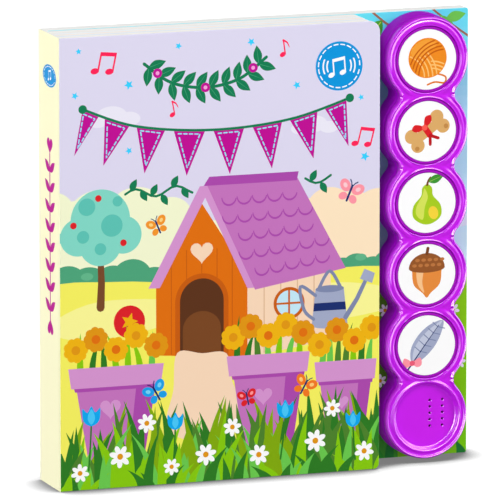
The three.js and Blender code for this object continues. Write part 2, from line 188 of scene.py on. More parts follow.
class Art:
    """Shapes of flat colour, later ones over earlier ones."""

    def __init__(self):
        self.layers = []

    def poly(self, pts, rgb):
        self.layers.append(([(float(a), float(b)) for a, b in pts], rgb))

    def blob(self, pts, rgb, n=6):
        self.poly(smooth(pts, True, n), rgb)

    def disc(self, x, y, r, rgb, ry=None, rot=0.0, n=None):
        ry = r if ry is None else ry
        n = n or max(14, min(56, int(9 * math.sqrt(max(r, ry) * 4))))
        self.poly(arc_pts(x, y, r, ry, 0, 360 - 360 / n, n - 1, rot), rgb)

    def ring(self, x, y, r, w, rgb, inner, n=None):
        self.disc(x, y, r, rgb, n=n)
        self.disc(x, y, r - w, inner, n=n)

    def line(self, pts, w, rgb, w1=None, cap=4):
        """A stroke whose width runs from w to w1, with round ends."""
        w1 = w if w1 is None else w1
        m = len(pts)
        left, right = [], []
        for i, (x, y) in enumerate(pts):
            ax, ay = pts[max(i - 1, 0)]
            bx, by = pts[min(i + 1, m - 1)]
            d = math.hypot(bx - ax, by - ay) or 1
            nx, ny = -(by - ay) / d, (bx - ax) / d
            h = (w + (w1 - w) * i / max(1, m - 1)) / 2
            left.append((x + nx * h, y + ny * h))
            right.append((x - nx * h, y - ny * h))

        def end(p, q, h):
            a = math.degrees(math.atan2(p[1] - q[1], p[0] - q[0]))
            return [(p[0] + h * math.cos(math.radians(a + 90 - 180 * k / cap)),
                     p[1] + h * math.sin(math.radians(a + 90 - 180 * k / cap)))
                    for k in range(1, cap)]
        e1 = end(pts[-1], pts[-2], w1 / 2)
        e0 = end(pts[0], pts[1], w / 2)
        self.poly(left + e1 + right[::-1] + e0, rgb)

    def curve(self, pts, w, rgb, w1=None, n=6):
        self.line(smooth(pts, False, n), w, rgb, w1)

    def dashes(self, pts, w, rgb, on, off):
        """Short strokes along a line."""
        out, acc, draw, cur = [], 0.0, True, [pts[0]]
        need = on
        for a, b in zip(pts, pts[1:]):
            seg = math.hypot(b[0] - a[0], b[1] - a[1])
            pos = 0.0
            while seg - pos > need - acc:
                pos += need - acc
                p = (a[0] + (b[0] - a[0]) * pos / seg, a[1] + (b[1] - a[1]) * pos / seg)
                if draw:
                    cur.append(p)
                    out.append(cur)
                cur = [p]
                draw, acc = not draw, 0.0
                need = on if draw else off
            acc += seg - pos
            if draw:
                cur.append(b)
        for c in out:
            if len(c) > 1 and math.hypot(c[0][0] - c[-1][0], c[0][1] - c[-1][1]) > 0.2:
                self.line(c, w, rgb, cap=3)

    # motifs
    def blade(self, x, y, h, lean, w, rgb):
        n = 7
        left, right = [], []
        for k in range(n):
            t = k / n
            cx = x + lean * t * t
            ww = w * (1 - t) ** 0.8 * (0.75 + 0.9 * t * (1 - t)) / 2 * 1.3
            left.append((cx - ww, y + h * t))
            right.append((cx + ww, y + h * t))
        self.poly(left + [(x + lean, y + h)] + right[::-1], rgb)

    def daisy(self, x, y, r, petals=7, rot=0.0, petal=WHITE, eye=GOLD2):
        for k in range(petals):
            a = rot + 2 * math.pi * k / petals
            self.disc(x + r * 0.62 * math.cos(a), y + r * 0.62 * math.sin(a),
                      r * 0.42, petal, ry=r * 0.25, rot=a, n=14)
        self.disc(x, y, r * 0.28, eye, n=12)

    def tulip(self, x, y, s, rgb, rgb2, stem=G2, h=14, lean=0.0):
        self.curve([(x - lean, y - h), (x - lean * 0.4, y - h * 0.5), (x, y)], 0.9, stem)
        self.blob([(x, y - 0.2 * s), (x + 0.55 * s, y + 0.15 * s), (x + 0.62 * s, y + 1.0 * s),
                   (x + 0.28 * s, y + 0.72 * s), (x, y + 1.15 * s), (x - 0.28 * s, y + 0.72 * s),
                   (x - 0.62 * s, y + 1.0 * s), (x - 0.55 * s, y + 0.15 * s)], rgb, 4)
        self.blob([(x, y - 0.1 * s), (x + 0.26 * s, y + 0.35 * s), (x, y + 0.95 * s),
                   (x - 0.26 * s, y + 0.35 * s)], rgb2, 4)

    def butterfly(self, x, y, s, rgb, rgb2, rot=0.0, body=NAVY):
        def at(dx, dy):
            return (x + s * (dx * math.cos(rot) - dy * math.sin(rot)),
                    y + s * (dx * math.sin(rot) + dy * math.cos(rot)))
        for sx in (-1, 1):
            a, b = at(0.52 * sx, 0.42), at(0.4 * sx, -0.36)
            self.disc(a[0], a[1], 0.5 * s, rgb, ry=0.38 * s, rot=rot + sx * 0.7, n=20)
            self.disc(b[0], b[1], 0.34 * s, rgb, ry=0.28 * s, rot=rot - sx * 0.6, n=18)
            self.disc(a[0], a[1], 0.2 * s, rgb2, ry=0.15 * s, rot=rot + sx * 0.7, n=14)
            self.line([at(0.03 * sx, 0.5), at(0.14 * sx, 0.75), at(0.3 * sx, 0.92)],
                      0.08 * s, body)
        self.line([at(0, -0.6), at(0, 0), at(0, 0.55)], 0.16 * s, body)

    def note(self, x, y, s, rgb, rot=0.0, pair=True):
        def at(dx, dy):
            return (x + s * (dx * math.cos(rot) - dy * math.sin(rot)),
                    y + s * (dx * math.sin(rot) + dy * math.cos(rot)))
        heads = [(-0.42, 0), (0.42, 0.1)] if pair else [(-0.2, 0)]
        for hx, hy in heads:
            p = at(hx, hy)
            self.disc(p[0], p[1], 0.24 * s, rgb, ry=0.17 * s, rot=rot + 0.35, n=16)
            self.line([at(hx + 0.19, hy), at(hx + 0.19, hy + 1.0)], 0.1 * s, rgb)
        if pair:
            self.poly([at(-0.28, 0.88), at(0.66, 0.98), at(0.66, 1.2), at(-0.28, 1.1)], rgb)
        else:
            self.curve([at(-0.01, 1.0), at(0.25, 0.78), at(0.36, 0.42)], 0.16 * s, rgb, 0.04 * s)

    def star(self, x, y, s, rgb, rot=0.0, k=5, inner=0.45):
        self.poly([(x + s * (1 if i % 2 == 0 else inner) * math.sin(rot + math.pi * i / k),
                    y + s * (1 if i % 2 == 0 else inner) * math.cos(rot + math.pi * i / k))
                   for i in range(2 * k)], rgb)

    def heart(self, x, y, s, rgb, rot=0.0):
        pts = []
        for k in range(24):
            t = 2 * math.pi * k / 24
            dx = 0.062 * 16 * math.sin(t) ** 3
            dy = 0.062 * (13 * math.cos(t) - 5 * math.cos(2 * t) - 2 * math.cos(3 * t) - math.cos(4 * t))
            pts.append((x + s * (dx * math.cos(rot) - dy * math.sin(rot)),
                        y + s * (dx * math.sin(rot) + dy * math.cos(rot))))
        self.poly(pts, rgb)

    def leaf(self, x, y, length, w, rot, rgb, vein=None):
        n = 9
        top, bot = [], []
        for k in range(n + 1):
            t = k / n
            h = w / 2 * math.sin(math.pi * t ** 0.85)
            top.append((length * t, h))
            bot.append((length * t, -h))
        pts = top[:-1] + bot[::-1][:-1]
        c, s_ = math.cos(rot), math.sin(rot)
        self.poly([(x + a * c - b * s_, y + a * s_ + b * c) for a, b in pts], rgb)
        if vein:
            self.line([(x + a * c, y + a * s_) for a in (length * 0.08, length * 0.85)],
                      max(0.25, w * 0.06), vein, w1=0.1)

    def paw(self, x, y, s, rgb, rot=0.0):
        def at(dx, dy):
            return (x + s * (dx * math.cos(rot) - dy * math.sin(rot)),
                    y + s * (dx * math.sin(rot) + dy * math.cos(rot)))
        p = at(0, -0.2)
        self.disc(p[0], p[1], 0.46 * s, rgb, ry=0.38 * s, rot=rot, n=20)
        for dx, dy in ((-0.58, 0.2), (-0.22, 0.55), (0.22, 0.55), (0.58, 0.2)):
            p = at(dx, dy)
            self.disc(p[0], p[1], 0.17 * s, rgb, ry=0.23 * s, rot=rot, n=14)

    def puffs(self, x0, x1, y, r, rgb, base):
        """A bank of round puffs over a level base."""
        x = x0
        self.poly([(x0, base), (x1, base), (x1, y), (x0, y)], rgb)
        k = 0
        while x < x1 + r * 0.4:
            rr = r * (0.72 + 0.5 * rnd.random())
            self.disc(x, y + (rnd.random() - 0.35) * r * 0.5, rr, rgb, ry=rr * 0.86)
            x += rr * (0.95 + 0.35 * rnd.random())
            k += 1


def cover_art():
    a = Art()
    a.poly([(-1, -1), (COVER_W + 1, -1), (COVER_W + 1, H + 1), (-1, H + 1)], SKY)
    # clouds
    a.puffs(96, 172, 132, 13, PEACH, 90)
    a.puffs(-4, 60, 138, 15, CREAM, 90)
    a.puffs(58, 120, 120, 11, CREAM, 90)
    for x, y, r in ((20, 186, 6), (27, 188, 8), (36, 186, 6)):
        a.disc(x, y, r, (236, 233, 247), ry=r * 0.6)
    for x, y, r in ((126, 176, 5), (133, 178, 7), (141, 176, 5)):
        a.disc(x, y, r, (236, 233, 247), ry=r * 0.6)
    # hedge and ground
    a.puffs(-3, 172, 104, 9, HEDGE, 80)
    for x, y, r in ((14, 108, 3.2), (52, 106, 2.6), (158, 109, 3.0), (121, 107, 2.6), (34, 103, 2)):
        a.disc(x, y, r, HEDGE2, ry=r * 0.6)
    a.blob([(-14, 60), (-10, 101), (30, 104.5), (80, 100.5), (130, 104), (182, 99), (184, 55), (80, 40)], GROUND)
    a.poly([(-1, -1), (COVER_W + 1, -1), (COVER_W + 1, 62), (-1, 62)], GROUND)
    a.blob([(-6, 84), (20, 95), (64, 92), (50, 80), (10, 76)], GROUND2)
    a.blob([(112, 88), (140, 97), (174, 92), (172, 82), (130, 78)], GROUND2)
    # round tree
    a.line([(21, 92), (21.5, 104), (21, 120)], 4.2, BROWN, w1=3.0)
    for x, y, r in ((21, 136, 15.5), (9.5, 128, 9.5), (33, 128, 9.5), (21, 124, 11)):
        a.disc(x, y, r, TEAL)
    for x, y, r in ((14, 143, 4.4), (27, 133, 5.6), (12, 128, 3.2), (30, 145, 2.6), (21, 121.5, 3.0)):
        a.disc(x, y, r, TEAL2)
    for x, y in ((20, 147), (33, 124), (7, 134)):
        a.disc(x, y, 1.7, RED)
    # little wooden pet house
    a.poly([(98, 62), (142, 68), (142, 108), (98, 104)], SKIN)
    for k in range(1, 5):
        x = 98 + 44 * k / 5
        a.line([(x, 62.6 + 6 * k / 5), (x, 104 + 4 * k / 5)], 0.6, (226, 184, 146))
    a.poly([(50, 66), (98, 62), (98, 104), (73, 143), (50, 106)], ORANGE)
    for k in range(1, 6):
        x = 50 + 48 * k / 6
        a.line([(x, 66), (x, 118)], 0.5, ORANGE2)
    a.poly([(46, 100), (73, 150), (79, 150), (52, 100)], PUR3)
    a.poly([(73, 150), (79, 150), (104, 97), (98, 97)], PUR3)
    a.poly([(76, 152), (124, 152), (150, 104), (102, 96)], PUR)
    for row in range(6):
        t0 = row / 6
        xl, yl = 76 + 26 * t0, 152 - 56 * t0
        xr, yr = 124 + 26 * t0, 152 - 48 * t0
        n = 6
        for k in range(n):
            u = (k + 0.5 + (0.5 if row % 2 else 0)) / n
            if u > 0.98 or row == 0:
                continue
            x, y = xl + (xr - xl) * u, yl + (yr - yl) * u
            a.poly(arc_pts(x, y + 0.4, 4.0, 4.2, 180, 360, 9, -0.06), PUR2)
            a.poly(arc_pts(x, y + 1.0, 3.6, 3.8, 180, 360, 9, -0.06), PUR)
    a.poly([(75, 150), (78, 154.5), (125, 154.5), (124, 150)], PUR2)
    # arched door
    a.poly([(60, 65)] + [(88, 62.9)] + arc_pts(74, 92, 14, 14, 0, 180, 22), ORANGE2)
    a.poly([(62.5, 65)] + [(85.5, 63.2)] + arc_pts(74, 92, 11.5, 11.5, 0, 180, 20), (92, 50, 24))
    a.poly([(64, 65)] + [(84, 64)] + arc_pts(74, 78, 10, 9, 0, 180, 14), (122, 70, 32))
    # heart over the door and small round window
    a.heart(74, 117, 6.0, SKIN)
    a.disc(120, 88, 8.2, ORANGE2)
    a.disc(120, 88, 6.6, (196, 232, 246))
    a.line([(113.4, 88), (126.6, 88)], 1.0, ORANGE2)
    a.line([(120, 81.4), (120, 94.6)], 1.0, ORANGE2)
    # watering can
    a.poly([(134, 94), (149, 94), (151, 76), (132, 76)], GREY)
    a.disc(141.5, 94, 7.5, GREY2, ry=1.8)
    a.disc(141.5, 76, 9.5, GREY, ry=2.2)
    a.poly([(133.2, 87), (149.8, 87), (150.2, 83), (132.8, 83)], NAVY)
    a.line([(150, 79), (156, 88), (161, 98)], 2.6, GREY2, w1=2.0)
    a.poly([(157.5, 98), (164, 95.5), (165.5, 100.5), (160, 103)], GREY)
    a.curve([(134, 91), (126, 96), (128, 84), (133, 79)], 1.7, GREY2)
    a.curve([(136, 95), (141.5, 103), (147, 95)], 1.7, GREY2)
    # ball
    a.disc(36, 84, 8.2, RED)
    a.poly(arc_pts(36, 84, 8.2, 8.2, 150, 210, 10) + arc_pts(36, 84, 8.2, 2.2, 210, 150, 4)[1:-1], (251, 96, 80))
    a.star(36, 84, 4.6, GOLD, 0.3)
    # path to the door
    a.blob([(61, 66.5), (74, 65.6), (87, 64.6), (90, 50), (98, 30), (78, 20), (56, 28), (59, 48)], SKIN)
    # three flower pots
    for cx, w, top, low in ((29, 50, 62, 14), (109, 44, 63, 14), (150, 33, 57, 16)):
        for k in range(7):
            a.blade(cx + w * (k - 3) / 8, top - 3, rnd.uniform(14, 24), rnd.uniform(-6, 6), 3.4,
                    rnd.choice((G1, G3, G4, G2)))
        n = 5 if w > 40 else 4
        for k in range(n):
            x = cx + w * 0.84 * (k / (n - 1) - 0.5)
            y = top + 9 + (6 if k % 2 else 0) + rnd.uniform(-1, 1)
            c1, c2 = ((GOLD, GOLD2), (GOLD2, ORANGE), (GOLD, ORANGE))[k % 3]
            for j in range(9):
                t = 2 * math.pi * j / 9 + k
                a.disc(x + 4.2 * math.cos(t), y + 4.2 * math.sin(t), 2.3, c1, n=12)
            a.disc(x, y, 4.2, c1, n=18)
            a.disc(x, y, 2.3, c2, n=14)
        a.poly([(cx - w * 0.43, top - 6), (cx + w * 0.43, top - 6), (cx + w * 0.29, low), (cx - w * 0.29, low)], PUR)
        a.poly([(cx + w * 0.22, top - 6), (cx + w * 0.43, top - 6), (cx + w * 0.29, low), (cx + w * 0.13, low)], PUR2)
        a.poly([(cx - w * 0.44, top - 10.2), (cx + w * 0.44, top - 10.2), (cx + w * 0.43, top - 12), (cx - w * 0.43, top - 12)], PUR2)
        a.poly([(cx - w * 0.5, top), (cx + w * 0.5, top), (cx + w * 0.47, top - 10.2), (cx - w * 0.47, top - 10.2)], PUR3)
        a.heart(cx - w * 0.06, top - 21, w * 0.11, PUR3)
    # meadow along the bottom
    for k in range(60):
        x = 170 * ((k * 0.618034) % 1.0)
        a.blade(x, -2, rnd.uniform(30, 47), rnd.uniform(-12, 12), rnd.uniform(5.5, 8.5),
                rnd.choice((G2, G3, G2, G5)))
    for k in range(54):
        x = 170 * ((k * 0.618034 + 0.31) % 1.0)
        a.blade(x, -2, rnd.uniform(16, 40), rnd.uniform(-13, 13), rnd.uniform(5, 8.5),
                rnd.choice((G1, G1, G4, G3, G5, G2)))
    for k in range(40):
        x = 170 * ((k * 0.618034 + 0.77) % 1.0)
        a.blade(x, -2, rnd.uniform(8, 24), rnd.uniform(-10, 10), rnd.uniform(4.5, 7),
                rnd.choice((G1, G4, G2, G1)))
    for x, y, s, h in ((16, 34, 7.5, 24), (60, 29, 6.5, 20), (118, 31, 7.0, 22), (154, 24, 6.2, 18)):
        a.tulip(x, y, s, (0, 168, 238), (70, 200, 250), h=h, lean=rnd.uniform(-3, 3))
    for x, y, r in ((31, 16, 5.6), (45, 32, 4.8), (76, 14, 5.4), (90, 27, 4.6), (104, 12, 5.2),
                    (134, 17, 5.6), (143, 33, 4.4), (160, 10, 5.0), (10, 9, 4.6), (58, 9, 4.2)):
        a.daisy(x, y, r, 7, x * 0.7)
    for x, y, s, c1, c2, r in ((50, 47, 6.5, (20, 160, 235), (120, 215, 250), 0.5),
                               (128, 45, 6.2, (245, 120, 30), (255, 205, 120), -0.5),
                               (98, 41, 5.2, RED, (255, 150, 150), 0.2),
                               (152, 142, 7.0, PINK, (255, 205, 212), -0.4),
                               (51, 131, 5.6, (245, 150, 40), (255, 214, 130), 0.4)):
        a.butterfly(x, y, s, c1, c2, r)
    # leafy swag
    sw = smooth([(44, 213), (58, 203), (76, 199.5), (94, 203), (108, 213)], False, 8)
    a.line(sw, 1.6, DGREEN)
    for k in range(2, len(sw) - 1, 3):
        (x, y), (x2, y2) = sw[k], sw[k + 1]
        t = math.atan2(y2 - y, x2 - x)
        a.leaf(x, y, 9.5, 4.6, t + 1.0, DGREEN, (70, 170, 120))
        a.leaf(x, y, 9.5, 4.6, t - 1.0, DGREEN, (70, 170, 120))
    for x, y in ((76, 199.5), (51, 208), (101, 208)):
        a.disc(x, y, 2.4, MAGENTA)
        a.disc(x, y, 1.0, (246, 160, 220))
    # pennants on a cord
    cord = smooth([(12, 192), (40, 182), (80, 178), (120, 181), (152, 190)], False, 10)
    m = len(cord)
    n_f = 8
    for k in range(n_f):
        i0, i1 = int((m - 1) * (k + 0.06) / n_f), int((m - 1) * (k + 0.94) / n_f)
        p, q = cord[i0], cord[i1]
        dx, dy = q[0] - p[0], q[1] - p[1]
        length = math.hypot(dx, dy)
        nx, ny = dy / length, -dx / length
        tip = ((p[0] + q[0]) / 2 + nx * 23, (p[1] + q[1]) / 2 + ny * 23)
        a.poly([p, q, tip], MAGENTA)
        c = ((p[0] + q[0] + tip[0]) / 3, (p[1] + q[1] + tip[1]) / 3)
        ins = [(c[0] + (v[0] - c[0]) * 0.68, c[1] + (v[1] - c[1]) * 0.74) for v in (p, q, tip)]
        a.dashes([ins[0], ins[1], ins[2], ins[0]], 0.7, (150, 222, 248), 1.7, 1.2)
    a.line(cord, 1.3, DGREEN)
    for p in (cord[0], cord[-1]):
        a.disc(p[0], p[1], 2.2, DGREEN)
    # vine
    vine = [(34 + 108 * k / 40, 147.5 + 2.2 * math.sin(k * 0.8) + 0.02 * (34 + 108 * k / 40)) for k in range(41)]
    vine = [p for p in vine if p[0] < 70 or p[0] > 128]
    for part in ([p for p in vine if p[0] < 70], [p for p in vine if p[0] > 128]):
        a.line(part, 1.2, DGREEN)
        for k in range(1, len(part) - 1, 2):
            s = 1 if k % 4 == 1 else -1
            a.leaf(part[k][0], part[k][1], 6.6, 3.6, s * 1.05, DGREEN)
    # notes and stars
    for x, y, s, r, pair in ((60, 187, 6.5, 0.2, False), (158, 166, 8, -0.25, True), (22, 210, 9, -0.2, True),
                             (118, 214, 7, 0.15, False)):
        if s > 1:
            a.note(x, y, s, NOTE, r, pair)
    for x, y, s in ((36, 203, 2.6), (8, 199, 2.0), (124, 198, 2.2), (160, 160, 2.6), (36, 170, 2.0),
                    (100, 221, 2.2), (62, 221, 1.9), (10, 221, 1.7), (158, 190, 1.7)):
        a.star(x, y, s, STAR, x)
    # badge
    bx, by = 146.3, 206.4
    a.disc(bx, by, 12.4, BLUE, n=72)
    a.dashes(arc_pts(bx, by, 10.9, 10.9, 0, 360, 90), 0.6, WHITE, 2.1, 1.45)
    a.note(bx - 1.0, by - 4.2, 7.2, WHITE, 0.08, True)
    for r in (5.6, 7.6):
        for c in (0, 180):
            a.line(arc_pts(bx, by, r + 0.8, r + 0.8, c - 24, c + 24, 9), 0.75, WHITE)
    return a


def spine_art():
    """u runs towards the front cover, centred on the spine; v is height."""
    a = Art()
    a.poly([(-20, -1), (20, -1), (20, H + 1), (-20, H + 1)], SPINE)
    bx, by = 1.0, 207.0
    a.disc(bx, by, 10.4, BLUE, ry=5.6, n=48)
    a.dashes(arc_pts(bx, by, 8.7, 4.6, 0, 360, 60), 0.45, WHITE, 1.5, 1.1)
    a.note(bx, by - 1.7, 4.0, WHITE, 0.1, True)
    a.line([(1, 84), (1, 168)], 1.3, MAGENTA)
    for k in range(8):
        y = 89 + 10.0 * k
        a.leaf(1, y, 9.6, 4.2, 0.62, MAGENTA)
        a.leaf(1, y, 9.6, 4.2, math.pi - 0.62, MAGENTA)
    a.heart(1, 172.5, 4.6, MAGENTA)
    a.heart(1, 80.5, 4.6, MAGENTA, math.pi)
    return a


def panel_art():
    """Printed board behind the pages; x and z are the row's own."""
    a = Art()
    n = 28
    # Bands left of the module darken the print towards (52, 58, 96) in the sky and (40, 66, 40) in the meadow:
    # painted shade where the cover and module shadow the panel.
    painted_shade_bands = ((79, 0.14), (76, 0.28), (73, 0.42), (70, 0.52))
    for k in range(n):
        z0, z1 = 228.5 - 140 * k / n, 228.5 - 140 * (k + 1) / n
        t = k / (n - 1)
        c = (mix((100, 222, 236), (176, 240, 252), min(1, t * 3)) if t < 0.33
             else mix((176, 240, 252), (222, 255, 255), (t - 0.33) / 0.67))
        z1 -= 2 if k == n - 1 else 0
        a.poly([(X0, z1), (X1 + 1, z1), (X1 + 1, z0), (X0, z0)], c)
        if k > 2:
            # painted shade over this sky band
            for x, f in painted_shade_bands:
                a.poly([(X0, z1), (x, z1), (x, z0), (X0, z0)], mix(c, (52, 58, 96), f))
    for x, y, r in ((30, 150, 9), (42, 153, 12), (56, 150, 9), (-60, 170, 11), (-46, 174, 14), (-30, 170, 10),
                    (101, 118, 5), (108, 120, 6.5)):
        a.disc(x, y, r, (232, 246, 254), ry=r * 0.55)
    # far and near meadow
    a.poly([(X0, -1), (X1 + 1, -1), (X1 + 1, 92)] + [(X1 + 1 - 226 * k / 24, 92 + 3 * math.sin(k * 0.9)) for k in range(1, 24)] + [(X0, 90)], (160, 236, 40))
    for k in range(14):
        z1 = 88 - 6.2 * k
        c = mix((150, 232, 24), (128, 220, 0), k / 13)
        a.poly([(X0, -1), (X1 + 1, -1), (X1 + 1, z1)]
               + [(X1 + 1 - 226 * j / 12, z1 + 1.5 * math.sin(j + k)) for j in range(1, 12)] + [(X0, z1)], c)
        # painted shade over this meadow band
        for x, f in painted_shade_bands:
            a.poly([(X0, z1 - 6.5), (x, z1 - 6.5), (x, z1), (X0, z1)], mix(c, (40, 66, 40), f))
    for k in range(46):
        x = X0 + 6 + 216 * ((k * 0.618034) % 1.0)
        a.blade(x, -2, rnd.uniform(24, 46), rnd.uniform(-9, 9), rnd.uniform(4, 7), rnd.choice(((84, 176, 40), (60, 156, 44), (100, 190, 30))))
    for k in range(46):
        x = X0 + 6 + 216 * ((k * 0.618034 + 0.4) % 1.0)
        a.blade(x, -2, rnd.uniform(10, 30), rnd.uniform(-9, 9), rnd.uniform(4, 7), rnd.choice(((40, 150, 40), (30, 130, 50), (120, 195, 20))))
    # leafy twigs at the top
    a.curve([(60, 229), (70, 221), (80, 216.5)], 1.2, (158, 104, 82))
    a.leaf(66, 224, 17, 8.5, -2.25, (72, 165, 50), (175, 205, 70))
    a.leaf(74, 219, 16, 8, -1.2, (92, 188, 62), (185, 215, 80))
    a.curve([(92, 229), (102, 221), (113, 213)], 1.1, (158, 104, 82))
    a.leaf(97, 225, 15, 7.5, -1.05, (97, 192, 79), (190, 222, 120))
    a.leaf(104, 219.5, 14, 7, -1.5, (72, 175, 55), (175, 215, 90))
    a.leaf(100, 223, 11, 5.4, 0.2, (110, 200, 80))
    a.leaf(-70, 224, 22, 10, -1.9, (72, 165, 50), (175, 205, 70))
    a.leaf(-20, 224, 22, 10, -1.2, (92, 188, 62), (185, 215, 80))
    for x, y in ((-60, 60), (-20, 74), (20, 58), (40, 80), (104.5, 74), (108, 47), (65.5, 40), (68, 76)):
        a.daisy(x, y, 3.4, 6, x)
    return a


def inner_art(seed):
    """Simple page print: sky, hills, a sun and flowers."""
    a = Art()
    r = random.Random(seed)
    a.poly([(X0 - 1, -1), (X1, -1), (X1, H + 1), (X0 - 1, H + 1)], (208, 232, 248) if seed % 2 else (250, 238, 205))
    sx = X0 + 40 if seed % 2 else X0 + 128
    a.disc(sx, 190, 17, (255, 214, 90))
    a.disc(sx, 190, 13, (255, 226, 120))
    for k in range(3):
        x, y = X0 + 30 + 50 * k + r.uniform(-6, 6), 150 + r.uniform(-8, 26)
        for dx, rr in ((-9, 7), (0, 10), (9, 7)):
            a.disc(x + dx, y, rr, WHITE, ry=rr * 0.6)
    for k, c in enumerate(((150, 205, 120), (120, 190, 90), (96, 174, 70))):
        z = 96 - 26 * k
        a.poly([(X0 - 1, -1), (X1, -1), (X1, z)] + [(X1 - 225 * j / 16, z + 9 * math.sin(j * 0.7 + k * 1.9 + seed)) for j in range(1, 16)] + [(X0 - 1, z)], c)
    for k in range(16):
        x, y = X0 + 10 + 148 * ((k * 0.618) % 1), 8 + 66 * ((k * 0.37 + 0.2) % 1)
        a.daisy(x, y, 4.2, 6, k, *r.choice(((WHITE, GOLD2), (PINK, GOLD), (PUR3, GOLD))))
    return a


def back_art():
    """u runs from the right as seen from the front; v is height."""
    a = Art()
    a.poly([(-X1 - 1, -1), (-X0 + 1, -1), (-X0 + 1, H + 1), (-X1 - 1, H + 1)], SKY)
    a.poly([(-X1 - 1, -1), (-X0 + 1, -1), (-X0 + 1, 26), (-X1 - 1, 26)], CREAM)
    for k in range(17):
        a.disc(-X1 + 14 * k, 26, 8.2, CREAM, ry=5.5, n=24)
    for k in range(12):
        x = -X1 + 12 + 18.2 * k
        a.daisy(x, 13, 4.6, 7, k)
    for x, y, s in ((60, 190, 2.6), (20, 150, 2.2), (-20, 205, 2.4), (84, 120, 2.0), (10, 80, 2.4), (92, 60, 2.2), (-40, 60, 2.0)):
        a.star(x, y, s, (196, 186, 226), x)
    return a


# ---------------------------------------------------------------- label prints
def label_art(i):
    a = Art()
    a.disc(0, 0, 16.5, WHITE, n=72)
    if i == 0:      # ball of yarn
        a.curve([(5.5, -7.5), (9.6, -9.2), (9.0, -12.2), (4.0, -11.6), (0, -12.8)], 0.9, (226, 120, 20))
        a.disc(0, 0.8, 10.2, (240, 140, 28))

        def strands(cx, cy, radii, a0, a1, rgb, w=0.7):
            for r in radii:
                pts = [p for p in arc_pts(cx, cy, r, r, a0, a1, 40)
                       if math.hypot(p[0], p[1] - 0.8) < 9.7]
                if len(pts) > 2:
                    a.line(pts, w, rgb)
        strands(-13, -9, (11.4, 13.6, 15.8, 18.0), -30, 100, (255, 196, 112))
        a.blob([(-8.6, 4.8), (-4.6, 8.9), (1.2, 10.2), (5.0, 7.6), (1.0, 4.2), (-3.8, 1.6), (-7.4, 0.6)], (246, 160, 52), 5)
        strands(8.5, -8.5, (13.2, 15.0, 16.8, 18.6), 80, 190, ORANGE2)
        strands(2, -16, (11.4, 13.2, 15.0), 20, 90, (255, 196, 112))
    elif i == 1:    # bone with a ribbon
        t = 0.62
        c, s = math.cos(t), math.sin(t)

        def at(u, v):
            return (u * c - v * s, u * s + v * c)
        tan, tan2 = (222, 172, 104), (196, 138, 72)
        for u in (-8.2, 8.2):
            for v in (-2.9, 2.9):
                p = at(u, v)
                a.disc(p[0], p[1], 3.6, tan)
        a.poly([at(-8.5, -2.5), at(8.5, -2.5), at(8.5, 2.5), at(-8.5, 2.5)], tan)
        for u, v in ((-9.4, -4.0), (9.4, -4.0)):
            p = at(u, v)
            a.disc(p[0], p[1], 1.2, tan2)
        a.poly([at(-1.6, -3.0), at(1.6, -3.0), at(1.6, 3.0), at(-1.6, 3.0)], RED)
        for u in (-1, 1):
            a.blob([at(0, 2.6), at(u * 3.2, 6.6), at(u * 6.2, 5.4), at(u * 4.2, 2.6)], RED, 4)
            a.line([at(0, -2.6), at(u * 2.6, -6.4)], 1.6, (190, 20, 30))
        p = at(0, 2.4)
        a.disc(p[0], p[1], 1.5, (251, 90, 80))
    elif i == 2:    # pear
        a.blob([(0, 9.6), (2.6, 7.6), (3.2, 3.6), (7.2, -1.2), (7.4, -7.0), (2.6, -10.6), (-2.6, -10.6), (-7.4, -7.0), (-7.2, -1.2), (-3.2, 3.6), (-2.6, 7.6)], (168, 206, 30), 5)
        a.blob([(-1.4, 7.4), (0.4, 3.2), (-1.2, -2.2), (-2.2, -8.4), (-5.6, -6.0), (-5.6, -1.6), (-2.6, 3.6)], (214, 228, 90), 5)
        a.disc(3.4, -5.2, 2.6, (246, 214, 60), ry=3.4, rot=0.3)
        a.curve([(0, 9.0), (0.6, 11.0), (1.8, 12.8)], 1.1, BROWN)
        a.leaf(0.8, 10.6, 8.6, 4.2, 0.35, (60, 150, 50), (170, 210, 90))
    elif i == 3:    # acorn
        a.blob([(0, -12), (2.2, -9.6), (6.8, -5.4), (7.8, 0.5), (6.6, 4.2), (-6.6, 4.2), (-7.8, 0.5), (-6.8, -5.4), (-2.2, -9.6)], (232, 140, 60), 5)
        a.blob([(-1.4, -9.4), (-4.6, -5.4), (-5.6, 0.4), (-4.4, 3.0), (-1.8, 3.0), (-2.4, -4.0)], (250, 196, 140), 5)
        a.poly(arc_pts(0, 3.2, 9.6, 7.6, 0, 180, 24) + arc_pts(0, 3.2, 9.6, 2.4, 180, 360, 14)[1:-1], (150, 86, 40))
        for k in range(-2, 3):
            for j in range(2):
                a.disc(3.3 * k + 1.6 * j, 4.6 + 2.7 * j, 1.25, (190, 118, 62), ry=0.85, n=12)
        a.line([(0, 10.4), (0.6, 13.2)], 1.6, (120, 66, 32))
    else:           # feather with a bow
        a.blob([(-7.5, -9), (-8.5, -2), (-4.6, 5.2), (1.6, 10.4), (8.8, 12.4), (8.0, 6.4), (4.4, -0.6), (-1.6, -6.6)], GREY, 5)
        a.blob([(-7.0, -8.6), (-6.8, -2), (-2.8, 4.2), (3, 9.2), (8.6, 12.2), (3.8, 5.8), (-1.6, -1.6)], (196, 202, 222), 5)
        for k in range(5):
            x, y = -3.6 + 2.4 * k, -2.8 + 3.0 * k
            a.line([(x, y), (x + 3.6, y - 1.0)], 0.5, GREY2)
            a.line([(x, y), (x - 2.6, y + 2.4)], 0.5, GREY2)
        a.curve([(-10.2, -12.2), (-6.6, -7.6), (-1, 0), (6.6, 10)], 0.9, NAVY, 0.35)
        for s in (-1, 1):
            a.blob([(-7.6, -8.6), (-7.6 + s * 4.2, -6.0), (-7.6 + s * 5.0, -9.6), (-7.6 + s * 2.6, -10.8)], PINK, 4)
        a.disc(-7.6, -8.7, 1.4, (238, 92, 120))
    return a


